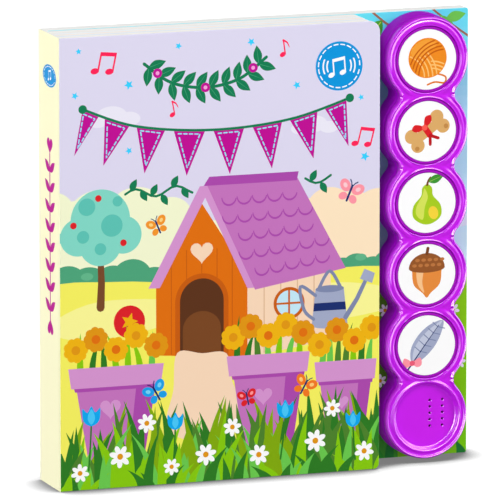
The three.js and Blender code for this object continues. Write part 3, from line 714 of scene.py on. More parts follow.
# ------------------------------------------------------------------ mesh tools
class Mesh:
    def __init__(self):
        self.v, self.f, self.m, self.mats, self.smooth = [], [], [], [], []

    def vert(self, p):
        self.v.append(p)
        return len(self.v) - 1

    def mi(self, material):
        if material not in self.mats:
            self.mats.append(material)
        return self.mats.index(material)

    def face(self, idx, material, smooth=False):
        self.f.append(tuple(idx))
        self.m.append(self.mi(material))
        self.smooth.append(smooth)

    def build(self, name, merge=None):
        me = bpy.data.meshes.new(name)
        me.from_pydata([(x * 0.001, y * 0.001, z * 0.001) for x, y, z in self.v], [], self.f)
        for m in self.mats:
            me.materials.append(m)
        me.polygons.foreach_set("material_index", self.m)
        me.polygons.foreach_set("use_smooth", self.smooth)
        me.update()
        if merge:
            import bmesh
            bm = bmesh.new()
            bm.from_mesh(me)
            bmesh.ops.remove_doubles(bm, verts=bm.verts, dist=merge * 0.001)
            bmesh.ops.dissolve_degenerate(bm, dist=1e-8, edges=bm.edges)
            bm.to_mesh(me)
            bm.free()
        o = bpy.data.objects.new(name, me)
        bpy.context.scene.collection.objects.link(o)
        return o


def rrect(x0, x1, z0, z1, rad, inset=0.0, n=10):
    """Rounded rectangle, counter-clockwise from the lower left; radii bl, br, tr, tl."""
    pts = []
    for (cx, cz, r, a0), (sx, sz) in zip(
            ((x0, z0, rad[0], 180), (x1, z0, rad[1], 270), (x1, z1, rad[2], 0), (x0, z1, rad[3], 90)),
            ((1, 1), (-1, 1), (-1, -1), (1, -1))):
        if r <= 0:
            pts.append((cx + sx * inset, cz + sz * inset))
            continue
        rr = max(r - inset, 0.03)
        ox, oz = cx + sx * (inset + rr), cz + sz * (inset + rr)
        for k in range(n + 1):
            a = math.radians(a0 + 90.0 * k / n)
            pts.append((ox + rr * math.cos(a), oz + rr * math.sin(a)))
    return pts


def inside(poly, px, py):
    """Which points lie within the polygon, by winding number."""
    w = np.zeros(len(px), dtype=np.int32)
    ax, ay = poly[-1]
    for bx, by in poly:
        if ay != by:
            cross = (bx - ax) * (py - ay) - (px - ax) * (by - ay)
            w += ((ay <= py) & (by > py) & (cross > 0)).astype(np.int32)
            w -= ((ay > py) & (by <= py) & (cross < 0)).astype(np.int32)
        ax, ay = bx, by
    return w != 0


def cut(polys):
    """Triangles between all the outlines, with their centres."""
    verts, edges = [], []
    for p in polys:
        b = len(verts)
        verts += [Vector(q) for q in p]
        edges += [(b + k, b + (k + 1) % len(p)) for k in range(len(p))]
    V, _, F, _, _, _ = delaunay_2d_cdt(verts, edges, [], 0, 1e-5, False)
    xy = np.array([(v.x, v.y) for v in V])
    tri = np.array(F, dtype=np.int64)
    a, b, c = xy[tri[:, 0]], xy[tri[:, 1]], xy[tri[:, 2]]
    area = (b[:, 0] - a[:, 0]) * (c[:, 1] - a[:, 1]) - (c[:, 0] - a[:, 0]) * (b[:, 1] - a[:, 1])
    tri[area < 0] = tri[area < 0][:, ::-1]
    keep = np.abs(area) > 1e-9
    return xy, tri[keep], ((a + b + c) / 3)[keep]


def flat_print(pairs, layers):
    """Cuts the layers into one flat set of triangles inside pairs[0] and
    outside the other pairs. Returns vertices, triangles with ink, and the
    boundary loops as (vertex, pair, edge, share along it)."""
    V, tri, mid = cut([p[0] for p in pairs] + [l[0] for l in layers])
    ok = inside(pairs[0][0], mid[:, 0], mid[:, 1])
    for p in pairs[1:]:
        ok &= ~inside(p[0], mid[:, 0], mid[:, 1])
    tri, mid = tri[ok], mid[ok]
    top = np.full(len(tri), -1, dtype=np.int64)
    for k, (poly, _) in enumerate(layers):
        xs, ys = [q[0] for q in poly], [q[1] for q in poly]
        sel = np.nonzero((mid[:, 0] > min(xs)) & (mid[:, 0] < max(xs))
                         & (mid[:, 1] > min(ys)) & (mid[:, 1] < max(ys)))[0]
        if len(sel):
            top[sel[inside(poly, mid[sel, 0], mid[sel, 1])]] = k
    tris = [tuple(int(i) for i in t) for t in tri]
    inks = [layers[k][1] if k >= 0 else None for k in top]
    V = [Vector((float(x), float(y))) for x, y in V]
    nxt, ink_of = {}, {}
    edges = {}
    for t, c in zip(tris, inks):
        for k in range(3):
            edges[(t[k], t[(k + 1) % 3])] = c
    for (a, b), c in edges.items():
        if (b, a) not in edges:
            nxt.setdefault(a, []).append(b)
            ink_of[(a, b)] = c
    loops, seen = [], set()
    for s in list(nxt):
        if s in seen:
            continue
        loop, cur = [], s
        while cur not in seen:
            seen.add(cur)
            loop.append(cur)
            cur = nxt[cur][0]
        if len(loop) > 2:
            loops.append(loop)
    out = []
    for loop in loops:
        rows = []
        for i in loop:
            best = None
            for pi, (poly, _) in enumerate(pairs):
                m = len(poly)
                for e in range(m):
                    ax, ay = poly[e]
                    bx, by = poly[(e + 1) % m]
                    dx, dy = bx - ax, by - ay
                    L2 = dx * dx + dy * dy
                    t = max(0.0, min(1.0, ((V[i].x - ax) * dx + (V[i].y - ay) * dy) / L2)) if L2 else 0
                    d = (V[i].x - ax - dx * t) ** 2 + (V[i].y - ay - dy * t) ** 2
                    if best is None or d < best[0] - 1e-12:
                        best = (d, pi, e, t)
            rows.append((i, best[1], best[2], best[3]))
        k0 = min(range(len(rows)), key=lambda k: (rows[k][2] + rows[k][3]) % len(pairs[rows[k][1]][0]))
        rows = rows[k0:] + rows[:k0]
        out.append(rows)
    return [(p.x, p.y) for p in V], tris, inks, out, ink_of


def board(me, place, pairs, thick, front, back, side, b=0.3, base=(240, 240, 238), lip=None):
    """A board with softened edges. pairs: (flat outline, full outline) for the
    rim and each hole. place(u, v, d) gives the point d deep in the board."""
    rims = []
    for which, art in ((0, front), (1, back)):
        pts, tris, inks, loops, ink_of = flat_print(pairs, art.layers if art else [])
        depth = (lambda d: d) if which == 0 else (lambda d: thick - d)
        ids = {}

        def vid(i):
            if i not in ids:
                ids[i] = me.vert(place(pts[i][0], pts[i][1], depth(0.0)))
            return ids[i]
        for t, c in zip(tris, inks):
            idx = [vid(i) for i in t]
            me.face(idx if which == 0 else idx[::-1], ink(c or base))
        rim = []
        for rows in loops:
            last = [(vid(i), e + s, e) for i, _, e, s in rows]
            pi = rows[0][1]
            flat, full = pairs[pi]
            m = len(full)
            for k in range(1, 4):
                ang = math.pi / 2 * k / 3
                cur = []
                for (i, _, e, s), (_, par, _) in zip(rows, last):
                    ox = full[e][0] * (1 - s) + full[(e + 1) % m][0] * s
                    oz = full[e][1] * (1 - s) + full[(e + 1) % m][1] * s
                    f = math.sin(ang)
                    cur.append((me.vert(place(pts[i][0] + (ox - pts[i][0]) * f,
                                              pts[i][1] + (oz - pts[i][1]) * f,
                                              depth(b * (1 - math.cos(ang))))), par, e))
                n = len(rows)
                for j in range(n):
                    j2 = (j + 1) % n
                    c = ink_of.get((rows[j][0], rows[j2][0]))
                    mt = lip if lip is not None else ink(c or base)
                    q = [last[j][0], cur[j][0], cur[j2][0], last[j2][0]]
                    # the loop runs counter-clockwise with the material inside
                    me.face(q if which == 0 else q[::-1], mt if k < 3 else (mt if lip is None else lip))
                last = cur
            rim.append((pi, last))
        rims.append(dict(rim))
    for pi, A in rims[0].items():
        B = rims[1][pi]
        full = pairs[pi][1]
        m = len(full)
        a = A + [(A[0][0], m, m - 1)]
        c = B + [(B[0][0], m, m - 1)]
        i = j = 0
        while i < len(a) - 1 or j < len(c) - 1:
            go_a = j >= len(c) - 1 or (i < len(a) - 1 and a[i + 1][1] <= c[j + 1][1])
            s = a[i][1] if go_a else c[j][1]
            e = int(min(m - 1, math.floor(s + 1e-6)))
            p, q = full[e], full[(e + 1) % m]
            nx, nz = q[1] - p[1], -(q[0] - p[0])
            mt = side(nx, nz)
            if go_a:
                me.face((a[i][0], c[j][0], a[i + 1][0]), mt)
                i += 1
            else:
                me.face((a[i][0], c[j][0], c[j + 1][0]), mt)
                j += 1


def turned(profile, x, z, n, material, me=None, mats=None):
    """Solid of revolution about a Y axis; profile of (radius, y), closed on the axis."""
    me = me or Mesh()
    rings = []
    for r, y in profile:
        if r < 1e-6:
            rings.append([me.vert((x, y, z))] * n)
        else:
            rings.append([me.vert((x + r * math.cos(2 * math.pi * k / n), y,
                                   z + r * math.sin(2 * math.pi * k / n))) for k in range(n)])
    for s in range(len(rings) - 1):
        mt = mats[s] if mats else material
        for k in range(n):
            k2 = (k + 1) % n
            q = []
            for w in (rings[s][k], rings[s + 1][k], rings[s + 1][k2], rings[s][k2]):
                if w not in q:
                    q.append(w)
            if len(q) > 2:
                me.face(q, mt, True)
    return me


def fillet(profile, radius, n=4):
    """Rounds the inner corners of an open profile."""
    out = [profile[0]]
    for a, b, c in zip(profile, profile[1:], profile[2:]):
        va, vc = (a[0] - b[0], a[1] - b[1]), (c[0] - b[0], c[1] - b[1])
        la, lc = math.hypot(*va), math.hypot(*vc)
        if la < 1e-9 or lc < 1e-9:
            out.append(b)
            continue
        d = min(radius, la * 0.45, lc * 0.45)
        p = (b[0] + va[0] / la * d, b[1] + va[1] / la * d)
        q = (b[0] + vc[0] / lc * d, b[1] + vc[1] / lc * d)
        for k in range(n + 1):
            t = k / n
            out.append(((1 - t) ** 2 * p[0] + 2 * t * (1 - t) * b[0] + t * t * q[0],
                        (1 - t) ** 2 * p[1] + 2 * t * (1 - t) * b[1] + t * t * q[1]))
    out.append(profile[-1])
    return out


def sharp(o, degrees=38):
    """Keeps edges above this angle crisp on a smooth mesh."""
    o.data.set_sharp_from_angle(angle=math.radians(degrees))


WHITE_EDGE = (242, 242, 240)


def y_place(yf):
    return lambda u, v, d: (u, yf + d, v)


# ------------------------------------------------------------------ front cover
def add_front_cover():
    me = Mesh()
    b = 0.35
    args = (X0, X0 + COVER_W, COVER_LIFT, H, (0, R_CB, R_CT, 0))
    full, flat = rrect(*args, 0.0), rrect(*args, b)
    art = cover_art()
    art.layers = [([(X0 + x, z) for x, z in p], c) for p, c in art.layers]
    inner = inner_art(3)
    board(me, y_place(YF), [(flat, full)], COVER_T, art, inner,
          lambda nx, nz: ink(SPINE) if nx < 0 and abs(nx) > abs(nz) else BOARD, b)
    o = me.build("cover_front")
    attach(o, "front_cover")
    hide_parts("front_cover")
    return o


# ------------------------------------------------------------------------ spine
def add_spine():
    me = Mesh()
    b = 0.12
    args = (-Y_BACKIN, -(Y_PAGES - 0.12), 0.0, H, (0, 0, 0, 0))
    full, flat = rrect(*args, 0.0), rrect(*args, b)
    art = spine_art()
    board(me, lambda u, v, d: (X0 + d, -u, v), [(flat, full)], SPINE_T, art, None,
          lambda nx, nz: BOARD if abs(nz) > abs(nx) else ink(SPINE), b, base=SPINE)
    o = me.build("spine")
    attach(o, "book")
    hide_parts("spine_board")
    return o


# ------------------------------------------------------------------------ pages
def add_pages():
    me = Mesh()
    step = (Y_PANEL - Y_PAGES) / PAGES
    tints = [(250, 240, 214), (238, 236, 232), (214, 228, 244), (236, 240, 244), (246, 226, 214),
             (228, 240, 250), (232, 232, 236), (240, 214, 186), (238, 240, 236), (246, 216, 220)]
    for k in range(PAGES):
        y0 = Y_PAGES + step * k + (0.05 if k else 0)
        y1 = Y_PAGES + step * (k + 1) - 0.05
        shrink = 0.25 * rnd.random()
        args = (X0 + SPINE_T, X0 + PAGE_W - shrink, 0.0 + 0.08 * rnd.random(), H - 0.15 * rnd.random(), (0, R_CB, R_CT, 0))
        full, flat = rrect(*args, 0.0, 8), rrect(*args, 0.3, 8)
        front = inner_art(4) if k == 0 else None
        board(me, y_place(y0), [(flat, full)], y1 - y0, front, None,
              lambda nx, nz: BOARD, 0.3, base=(244, 244, 242), lip=ink(tints[k]))
    o = me.build("pages")
    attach(o, "book")
    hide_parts("page_block")
    return o


def rect_hole(x0, x1, z0, z1, b):
    """Clockwise hole: flat outline set back by b, and the true outline."""
    full = [(x0, z0), (x0, z1), (x1, z1), (x1, z0)]
    flat = [(x0 - b, z0 - b), (x0 - b, z1 + b), (x1 + b, z1 + b), (x1 + b, z0 - b)]
    return (flat, full)


def add_back_boards():
    win = (XM - 12.8, XM + 12.8, 9.6, 220.4)
    me = Mesh()
    b = 0.3
    args = (X0 + SPINE_T, X1, 0.0, H, (0, R_P, R_P, 0))
    board(me, y_place(Y_PANEL), [(rrect(*args, b, 5), rrect(*args, 0.0, 5)), rect_hole(*win, b)],
          2.0, panel_art(), None, lambda nx, nz: BOARD, b)
    o = me.build("panel_print")
    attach(o, "book")
    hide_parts("panel_board")
    me = Mesh()
    board(me, y_place(Y_TRAY + 0.03), [(rrect(*args, 0.15, 5), rrect(*args, 0.0, 5)), rect_hole(*win, 0.15)],
          4.94, None, None, lambda nx, nz: BOARD, 0.15)
    o = me.build("tray_core")
    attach(o, "book")
    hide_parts("tray_board")
    me = Mesh()
    args = (-X1, -X0, 0.0, H, (R_P, 0, 0, R_P))
    hole = rect_hole(-(XM + 9.7), -(XM - 9.7), 126.7, 176.3, b)
    board(me, lambda u, v, d: (-u, YB - d, v), [(rrect(*args, b, 5), rrect(*args, 0.0, 5)), hole],
          2.0, back_art(), None,
          lambda nx, nz: ink(SPINE) if nx > 0 and abs(nx) > abs(nz) else BOARD, b)
    o = me.build("cover_back")
    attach(o, "book")
    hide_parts("back_cover")


# ----------------------------------------------------------------- sound module
HALF = PITCH / 2
XF = math.sqrt((R_OUT + R_NECK) ** 2 - HALF ** 2)
ALPHA = math.atan2(HALF, XF)
TOP_IN = 0.5      # inset of the top's outer edge from the base outline


def thetas(i, inset):
    """Directions around circle i, from -90 degrees, with the neck corners in
    it, and the distance to the outline or the mid-plane in each."""
    R, r = R_OUT - inset, R_NECK + inset
    xn = XF - r
    beta = math.atan2(HALF, xn)
    nside, nneck, nmid = 36, 16, 30
    out = []

    def reach(a, free):
        # free: no neighbour on this side
        s, c = math.sin(a), abs(math.cos(a))
        if free or abs(a_fold(a)) <= ALPHA:
            return R
        if abs(a_fold(a)) >= beta:
            return HALF / abs(s)
        # ray meets the hollow arc around (XF, HALF)
        dx, dz = c, abs(s)
        bq = dx * XF + dz * HALF
        cq = XF * XF + HALF * HALF - r * r
        return bq - math.sqrt(max(bq * bq - cq, 0.0))

    def a_fold(a):
        # angle above the horizontal, either side
        s, c = math.sin(a), abs(math.cos(a))
        return math.atan2(s, c)
    segs = [(-math.pi / 2, -beta, nmid // 2), (-beta, -ALPHA, nneck), (-ALPHA, ALPHA, nside),
            (ALPHA, beta, nneck), (beta, math.pi - beta, nmid), (math.pi - beta, math.pi - ALPHA, nneck),
            (math.pi - ALPHA, math.pi + ALPHA, nside), (math.pi + ALPHA, math.pi + beta, nneck),
            (math.pi + beta, 1.5 * math.pi, nmid // 2)]
    for a0, a1, n in segs:
        for k in range(n):
            out.append(a0 + (a1 - a0) * k / n)
    rows = []
    for a in out:
        up = math.sin(a) > 0
        free = (i == 0 and up) or (i == 5 and not up)
        if free and abs(a_fold(a)) > 0:
            rows.append((a, R))
        else:
            rows.append((a, reach(a, False)))
    return rows


def edge_distance(x, z, i, inset):
    """Distance inwards from the top outline for a point by circle i."""
    R, r = R_OUT - inset, R_NECK + inset
    dx, dz = x - XM, z - zc(i)
    best = 99.0
    if (dz > 0 and i == 0) or (dz < 0 and i == 5) or abs(math.atan2(dz, abs(dx))) <= ALPHA + 1e-9:
        best = R - math.hypot(dx, dz)
    for sz, ok in ((1, i > 0), (-1, i < 5)):
        if not ok:
            continue
        for sx in (1, -1):
            vx, vz = dx - sx * XF, dz - sz * HALF
            if -sx * vx > 0 and math.atan2(abs(vz), -sx * vx) <= ALPHA + 1e-9:
                best = min(best, math.hypot(vx, vz) - r)
    return best


def cos2(t):
    return math.cos(math.pi / 2 * max(-1.0, min(1.0, t))) ** 2


def sstep(a, b, x):
    t = max(0.0, min(1.0, (x - a) / (b - a)))
    return t * t * (3 - 2 * t)


def top_height(x, z, i):
    """Height of the casing's top above the panel at a point by circle i."""
    e = edge_distance(x, z, i, TOP_IN)
    r = math.hypot(x - XM, z - zc(i))
    base = 15.5
    near = 1 - sstep(4.4, 7.5, e)
    h = base
    # rim along the outline
    h = max(h, base + 1.0 * cos2((e - 0.78) / 1.0))
    if i < 5:
        # broad swell between rim and hole, and a fine lip at the hole
        h = max(h, base + 0.8 * near * cos2((r - 18.6) / 2.1))
        h = max(h, base + (0.34 + 0.25 * near) * cos2((r - 17.35) / 0.55))
        if r < R_HOLE + 0.4:
            q = (R_HOLE + 0.4 - r) / 0.4
            h -= 0.4 * (1 - math.sqrt(max(0.0, 1 - q * q)))
    else:
        h = max(h, base + 0.97 * cos2((r - 18.0) / 1.1))
        if r < 18.0:
            top = base + 0.97
            floor = CASING_H - 2.6
            t = sstep(15.7, 17.8, r)
            h = floor + (top - floor) * t
    if e < 0.7:
        q = (0.7 - e) / 0.7
        h -= 0.5 * (1 - math.sqrt(max(0.0, 1 - q * q)))
    return h


def add_casing():
    me = Mesh()
    n_r = 26
    side = [(CASING_H - 1.5, 0.5), (CASING_H - 3.0, 0.45), (11.75, 0.4), (11.5, 0.36), (11.32, 0.24),
            (11.2, 0.1), (11.0, 0.05), (8.0, 0.02), (4.0, 0.0), (0.0, 0.0)]
    under = 13.95

    def y_of(h):
        return Y_PANEL - h
    for i in range(6):
        rows = thetas(i, TOP_IN)
        n = len(rows)
        r0 = R_HOLE if i < 5 else 15.4
        grid = []
        for j in range(n_r + 1):
            t = j / n_r
            ring = []
            for a, far in rows:
                rr = r0 + (far - r0) * t
                x, z = XM + rr * math.cos(a), zc(i) + rr * math.sin(a)
                h = top_height(x, z, i)
                ring.append(me.vert((x, y_of(h), z)))
            grid.append(ring)
        for j in range(n_r):
            for k in range(n):
                k2 = (k + 1) % n
                me.face((grid[j][k], grid[j + 1][k], grid[j + 1][k2], grid[j][k2]), PURPLE, True)
        # outer wall
        beta = math.atan2(HALF, XF - R_NECK - TOP_IN)

        def on_edge(k):
            a = rows[k][0]
            s, c = math.sin(a), abs(math.cos(a))
            up = s > 0
            free = (i == 0 and up) or (i == 5 and not up)
            return free or abs(math.atan2(s, c)) <= beta + 1e-6
        prev = grid[n_r]
        for h, inset in side:
            cur = []
            for k in range(n):
                a, far = rows[k]
                if not on_edge(k):
                    cur.append(None)
                    continue
                x, z = XM + far * math.cos(a), zc(i) + far * math.sin(a)
                # outward direction of the outline here
                s, c = math.sin(a), math.cos(a)
                f = abs(math.atan2(s, abs(c)))
                free = (i == 0 and s > 0) or (i == 5 and s < 0)
                if free or f <= ALPHA + 1e-9:
                    ox, oz = c, s
                else:
                    fx, fz = math.copysign(XF, c), math.copysign(HALF, s)
                    vx, vz = x - XM - fx, z - zc(i) - fz
                    L = math.hypot(vx, vz)
                    ox, oz = -vx / L, -vz / L
                d = TOP_IN - inset
                cur.append(me.vert((x + ox * d, y_of(h), z + oz * d)))
            for k in range(n):
                k2 = (k + 1) % n
                if cur[k] is None or cur[k2] is None:
                    continue
                if not (on_edge(k) and on_edge(k2)):
                    continue
                # a mid-plane stretch has both ends on the edge list but no wall between
                am = (rows[k][0] + rows[k2][0]) / 2 if k2 else rows[k][0] + 0.01
                s, c = math.sin(am), abs(math.cos(am))
                free = (i == 0 and s > 0) or (i == 5 and s < 0)
                if not free and abs(math.atan2(s, c)) > beta:
                    continue
                # below 13 mm the wall takes the darker copy: painted shade towards the base
                me.face((prev[k], cur[k], cur[k2], prev[k2]), PURPLE if h > 13 else SHADED_WALL_PURPLE, True)
            prev = [c if c is not None else p for c, p in zip(cur, prev)]
        # hole wall and underside of the face plate
        if i < 5:
            ring = grid[0]
            # the hole wall below 15 mm takes the darker copy: painted shade deeper in the hole
            for h in (15.2, 14.6, under):
                cur = [me.vert((XM + R_HOLE * math.cos(a), y_of(h), zc(i) + R_HOLE * math.sin(a))) for a, _ in rows]
                for k in range(n):
                    k2 = (k + 1) % n
                    me.face((cur[k], ring[k], ring[k2], cur[k2]), SHADED_DEEP_PURPLE if h < 15 else PURPLE, True)
                ring = cur
        else:
            add_dish(me, grid[0], rows, y_of)
    o = me.build("casing", merge=0.002)
    sharp(o, 42)
    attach(o, "book")
    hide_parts("module_casing")
    return o


def add_dish(me, ring, rows, y_of):
    """Dish floor with its sound holes."""
    floor = CASING_H - 2.6
    outer = [(15.4 * math.cos(a), 15.4 * math.sin(a)) for a, _ in rows]
    holes = []
    for dx in (2.5, 9.2):
        for k in range(5):
            holes.append((dx, 1.2 + 3.3 * (k - 2)))
    rings = [[(hx + 0.95 * math.cos(2 * math.pi * k / 20), hz + 0.95 * math.sin(2 * math.pi * k / 20))
              for k in range(20)] for hx, hz in holes]
    V, tri, mid = cut([outer] + rings)
    ok = inside(outer, mid[:, 0], mid[:, 1])
    for q in rings:
        ok &= ~inside(q, mid[:, 0], mid[:, 1])
    ids = {}

    def vid(i):
        if i not in ids:
            ids[i] = me.vert((XM + V[i][0], y_of(floor), zc(5) + V[i][1]))
        return ids[i]
    for t in tri[ok]:
        me.face([vid(int(i)) for i in t], PURPLE, True)
    for hx, hz in holes:
        prev = None
        # the lower walls of the sound holes take the darker copy: painted shade
        for r, dh, mt in ((0.95, 0.0, PURPLE), (0.82, -0.03, PURPLE), (0.68, -0.14, PURPLE), (0.62, -0.35, SHADED_DEEP_PURPLE), (0.6, -1.3, SHADED_DEEP_PURPLE)):
            cur = [me.vert((XM + hx + r * math.cos(2 * math.pi * k / 20), y_of(floor + dh), zc(5) + hz + r * math.sin(2 * math.pi * k / 20))) for k in range(20)]
            if prev:
                for k in range(20):
                    k2 = (k + 1) % 20
                    me.face((prev[k], prev[k2], cur[k2], cur[k]), mt, True)
            prev = cur
        # a dark disc closes each sound hole: painted shade standing in for the hole's depth
        me.face(prev, mat("sound_hole_painted_shade", (46, 6, 56), rough=0.7), False)


def add_buttons():
    for i in range(5):
        prof = fillet([(0, Y_CAP + 0.5), (R_LABEL + 0.2, Y_CAP + 0.5), (R_LABEL + 0.2, Y_CAP), (R_CAP + 0.2, Y_CAP),
                       (R_CAP + 0.2, Y_FACE + 0.3), (R_FLANGE, Y_FACE + 0.3), (R_FLANGE, Y_FACE + 1.5),
                       (3.5, Y_FACE + 1.5), (3.5, PCB_Y0 - 3.5), (0, PCB_Y0 - 3.5)], 0.35)
        # the cap takes the darker copy of the purple: painted shade in the gap round the label
        o = turned(prof, XM, zc(i), 96, SHADED_DEEP_PURPLE).build("button_cap_%d" % (i + 1))
        sharp(o)
        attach(o, "button_%d" % (i + 1))
        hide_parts("button_%d" % (i + 1))
        me = Mesh()
        n = 96
        full = [(R_LABEL * math.cos(2 * math.pi * k / n), R_LABEL * math.sin(2 * math.pi * k / n)) for k in range(n)]
        flat = [((R_LABEL - 0.12) * math.cos(2 * math.pi * k / n), (R_LABEL - 0.12) * math.sin(2 * math.pi * k / n)) for k in range(n)]
        z0 = zc(i)
        board(me, lambda u, v, d, z0=z0: (XM + u, Y_CAP + 0.05 + d, z0 + v), [(flat, full)], 0.4,
              label_art(i), None, lambda nx, nz: ink(WHITE), 0.12, base=WHITE)
        o = me.build("label_disc_%d" % (i + 1))
        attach(o, "button_%d" % (i + 1))
        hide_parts("label_%d" % (i + 1))


# ----------------------------------------------------------- remaining CAD nodes
def dress_cad():
    wires = {"red": mat("wire_red", (204, 34, 34), rough=0.45), "black": mat("wire_black", (34, 34, 34), rough=0.45)}
    looks = {
        "module_back": mat("rear_housing", (168, 38, 198), rough=0.35),
        "battery_door": mat("door_purple", (207, 50, 240), rough=0.3),
        "battery_door_screw": STEEL, "circuit_board": mat("circuit_green", (31, 107, 58), rough=0.5),
        "sound_chip": mat("black_resin", (17, 17, 17), rough=0.25),
        "capacitor": mat("capacitor_sleeve", (42, 47, 69), rough=0.4),
        "speaker_frame": STEEL, "speaker_cone": mat("cone_paper", (43, 43, 43), rough=0.9),
        "speaker_magnet": mat("magnet", (85, 88, 92), rough=0.5, metal=1.0),
    }
    for name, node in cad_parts.items():
        if node.hide_render:
            continue
        m = looks.get(name)
        if m is None:
            if name.startswith("module_screw"):
                m = STEEL
            elif name.startswith("dome"):
                m = mat("silicone", (232, 228, 218), rough=0.7)
            elif name.startswith("battery_wire") or name.startswith("speaker_wire"):
                m = wires[name.rsplit("_", 1)[1]]
            elif name.startswith("battery_contact"):
                m = mat("contact_metal", (214, 211, 196), rough=0.3, metal=1.0)
            elif name.startswith("battery_"):
                m = mat("cell_steel", (201, 204, 209), rough=0.25, metal=1.0)
            else:
                m = BOARD
        node.data.materials.clear()
        node.data.materials.append(m)


# ------------------------------------------------------------------------ stage
AMBIENT = 0.5
LIGHTS = (
    ("key", -36, 38, 1.9, 0.55, 0.55, 14.5, True, False),
    ("fill", 58, 20, 2.2, 0.9, 0.7, 12.5, True, False),
    ("side", -104, 8, 2.2, 0.8, 0.8, 6.5, True, False),
    ("back", 205, 8, 2.2, 1.0, 1.0, 5.5, True, False),
    ("gloss_left", -66, 8, 1.5, 0.8, 1.2, 12.0, False, True),
    ("gloss_top", 8, 56, 1.5, 1.3, 0.5, 8.0, False, True),
)


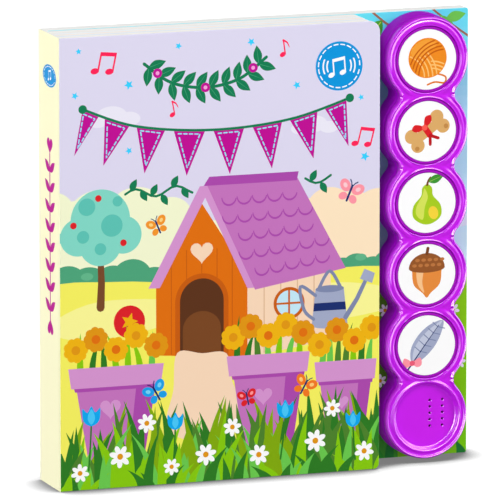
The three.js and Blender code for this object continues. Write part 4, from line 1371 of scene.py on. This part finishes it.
def add_stage():
    sc = bpy.context.scene
    me = bpy.data.meshes.new("floor")
    s = 30.0
    me.from_pydata([(-s, -s, 0), (s, -s, 0), (s, s, 0), (-s, s, 0)], [], [(0, 1, 2, 3)])
    fl = bpy.data.objects.new("floor", me)
    sc.collection.objects.link(fl)
    fm = bpy.data.materials.new("floor_white_painted_shadow")
    fm.use_nodes = True
    ft = fm.node_tree
    ft.nodes.remove(ft.nodes["Principled BSDF"])
    # The floor glows, its strength set by ambient occlusion: a painted contact shadow under the book rather than one
    # cast by the lamps.
    near = ft.nodes.new("ShaderNodeAmbientOcclusion")
    near.samples = 16
    near.inputs["Distance"].default_value = 0.022
    painted_shadow_ramp = ft.nodes.new("ShaderNodeMapRange")
    painted_shadow_ramp.interpolation_type = "SMOOTHSTEP"
    for key, val in (("From Min", 0.4), ("From Max", 0.96), ("To Min", 0.2), ("To Max", 1.15)):
        painted_shadow_ramp.inputs[key].default_value = val
    glow = ft.nodes.new("ShaderNodeEmission")
    ft.links.new(near.outputs["AO"], painted_shadow_ramp.inputs["Value"])
    ft.links.new(painted_shadow_ramp.outputs["Result"], glow.inputs["Strength"])
    ft.links.new(glow.outputs[0], ft.nodes["Material Output"].inputs["Surface"])
    me.materials.append(fm)
    fl.visible_diffuse = False
    fl.visible_glossy = False

    w = bpy.data.worlds.new("studio")
    sc.world = w
    w.use_nodes = True
    nt = w.node_tree
    out = nt.nodes["World Output"]
    bg = nt.nodes["Background"]
    bg.inputs[0].default_value = (1, 1, 1, 1)
    bg.inputs[1].default_value = AMBIENT
    lp = nt.nodes.new("ShaderNodeLightPath")
    # a bright belt round the room, dark ahead of the book and behind it
    tc = nt.nodes.new("ShaderNodeTexCoord")
    dot = nt.nodes.new("ShaderNodeVectorMath")
    dot.operation = "DOT_PRODUCT"
    dot.inputs[1].default_value = (0.325, -0.928, -0.184)
    nt.links.new(tc.outputs["Generated"], dot.inputs[0])
    belt = nt.nodes.new("ShaderNodeMapRange")
    belt.interpolation_type = "SMOOTHSTEP"
    rear = nt.nodes.new("ShaderNodeMapRange")
    rear.interpolation_type = "SMOOTHSTEP"
    for node, vals in ((belt, (0.78, 0.45, 0.0, 6.5)), (rear, (0.25, -0.15, 1.0, 0.0))):
        for key, val in zip(("From Min", "From Max", "To Min", "To Max"), vals):
            node.inputs[key].default_value = val
        nt.links.new(dot.outputs["Value"], node.inputs["Value"])
    both = nt.nodes.new("ShaderNodeMath")
    both.operation = "MULTIPLY"
    nt.links.new(belt.outputs["Result"], both.inputs[0])
    nt.links.new(rear.outputs["Result"], both.inputs[1])
    split = nt.nodes.new("ShaderNodeSeparateXYZ")
    nt.links.new(tc.outputs["Generated"], split.inputs[0])
    above = nt.nodes.new("ShaderNodeMapRange")
    above.interpolation_type = "SMOOTHSTEP"
    for key, val in (("From Min", -0.42), ("From Max", -0.18), ("To Min", 0.0), ("To Max", 1.0)):
        above.inputs[key].default_value = val
    nt.links.new(split.outputs["Z"], above.inputs["Value"])
    band = nt.nodes.new("ShaderNodeMath")
    band.operation = "MULTIPLY"
    nt.links.new(both.outputs[0], band.inputs[0])
    nt.links.new(above.outputs["Result"], band.inputs[1])
    room = nt.nodes.new("ShaderNodeMath")
    room.operation = "ADD"
    room.inputs[1].default_value = 0.05
    nt.links.new(band.outputs[0], room.inputs[0])
    last = bg
    for ray, level in (("Is Glossy Ray", 0.22), ("Is Camera Ray", 1.2)):
        other = nt.nodes.new("ShaderNodeBackground")
        other.inputs[0].default_value = (1, 1, 1, 1)
        other.inputs[1].default_value = level
        if ray == "Is Glossy Ray":
            nt.links.new(room.outputs[0], other.inputs[1])
        mx = nt.nodes.new("ShaderNodeMixShader")
        nt.links.new(lp.outputs[ray], mx.inputs[0])
        nt.links.new(last.outputs[0], mx.inputs[1])
        nt.links.new(other.outputs[0], mx.inputs[2])
        last = mx
    nt.links.new(last.outputs[0], out.inputs[0])

    def area(name, az, el, dist, sx, sy, level, diffuse=True, glossy=True):
        """A softbox at a bearing, its radiance given directly."""
        a, e = math.radians(az), math.radians(el)
        mid = Vector((0.02, 0.0, 0.114))
        loc = mid + dist * Vector((math.sin(a) * math.cos(e), -math.cos(a) * math.cos(e), math.sin(e)))
        ld = bpy.data.lights.new(name, "AREA")
        ld.shape = "RECTANGLE"
        ld.size, ld.size_y = sx, sy
        ld.energy = level * math.pi * sx * sy
        lo = bpy.data.objects.new(name, ld)
        lo.location = loc
        lo.rotation_euler = (mid - loc).to_track_quat("-Z", "Y").to_euler()
        lo.visible_diffuse = diffuse
        lo.visible_glossy = glossy
        sc.collection.objects.link(lo)
    for row in LIGHTS:
        area(*row)

    az, el, dist = math.radians(-19.34), math.radians(10.6), 4.5
    tgt = Vector((-0.00679, 0.0, 0.11293))
    back = Vector((math.sin(az) * math.cos(el), -math.cos(az) * math.cos(el), math.sin(el)))
    cd = bpy.data.cameras.new("camera")
    cd.sensor_width = 36.0
    cd.lens = 649.1
    cd.clip_end = 100.0
    co = bpy.data.objects.new("camera", cd)
    co.location = tgt + back * dist
    co.rotation_euler = (-back).to_track_quat("-Z", "Y").to_euler()
    sc.collection.objects.link(co)
    sc.camera = co
    sc.view_settings.view_transform = "Standard"
    sc.view_settings.look = "None"
    sc.cycles.max_bounces = 8
    sc.cycles.use_denoising = True
    sc.cycles.caustics_reflective = False
    sc.cycles.caustics_refractive = False


add_front_cover()
add_spine()
add_pages()
add_back_boards()
add_casing()
add_buttons()
dress_cad()
add_stage()
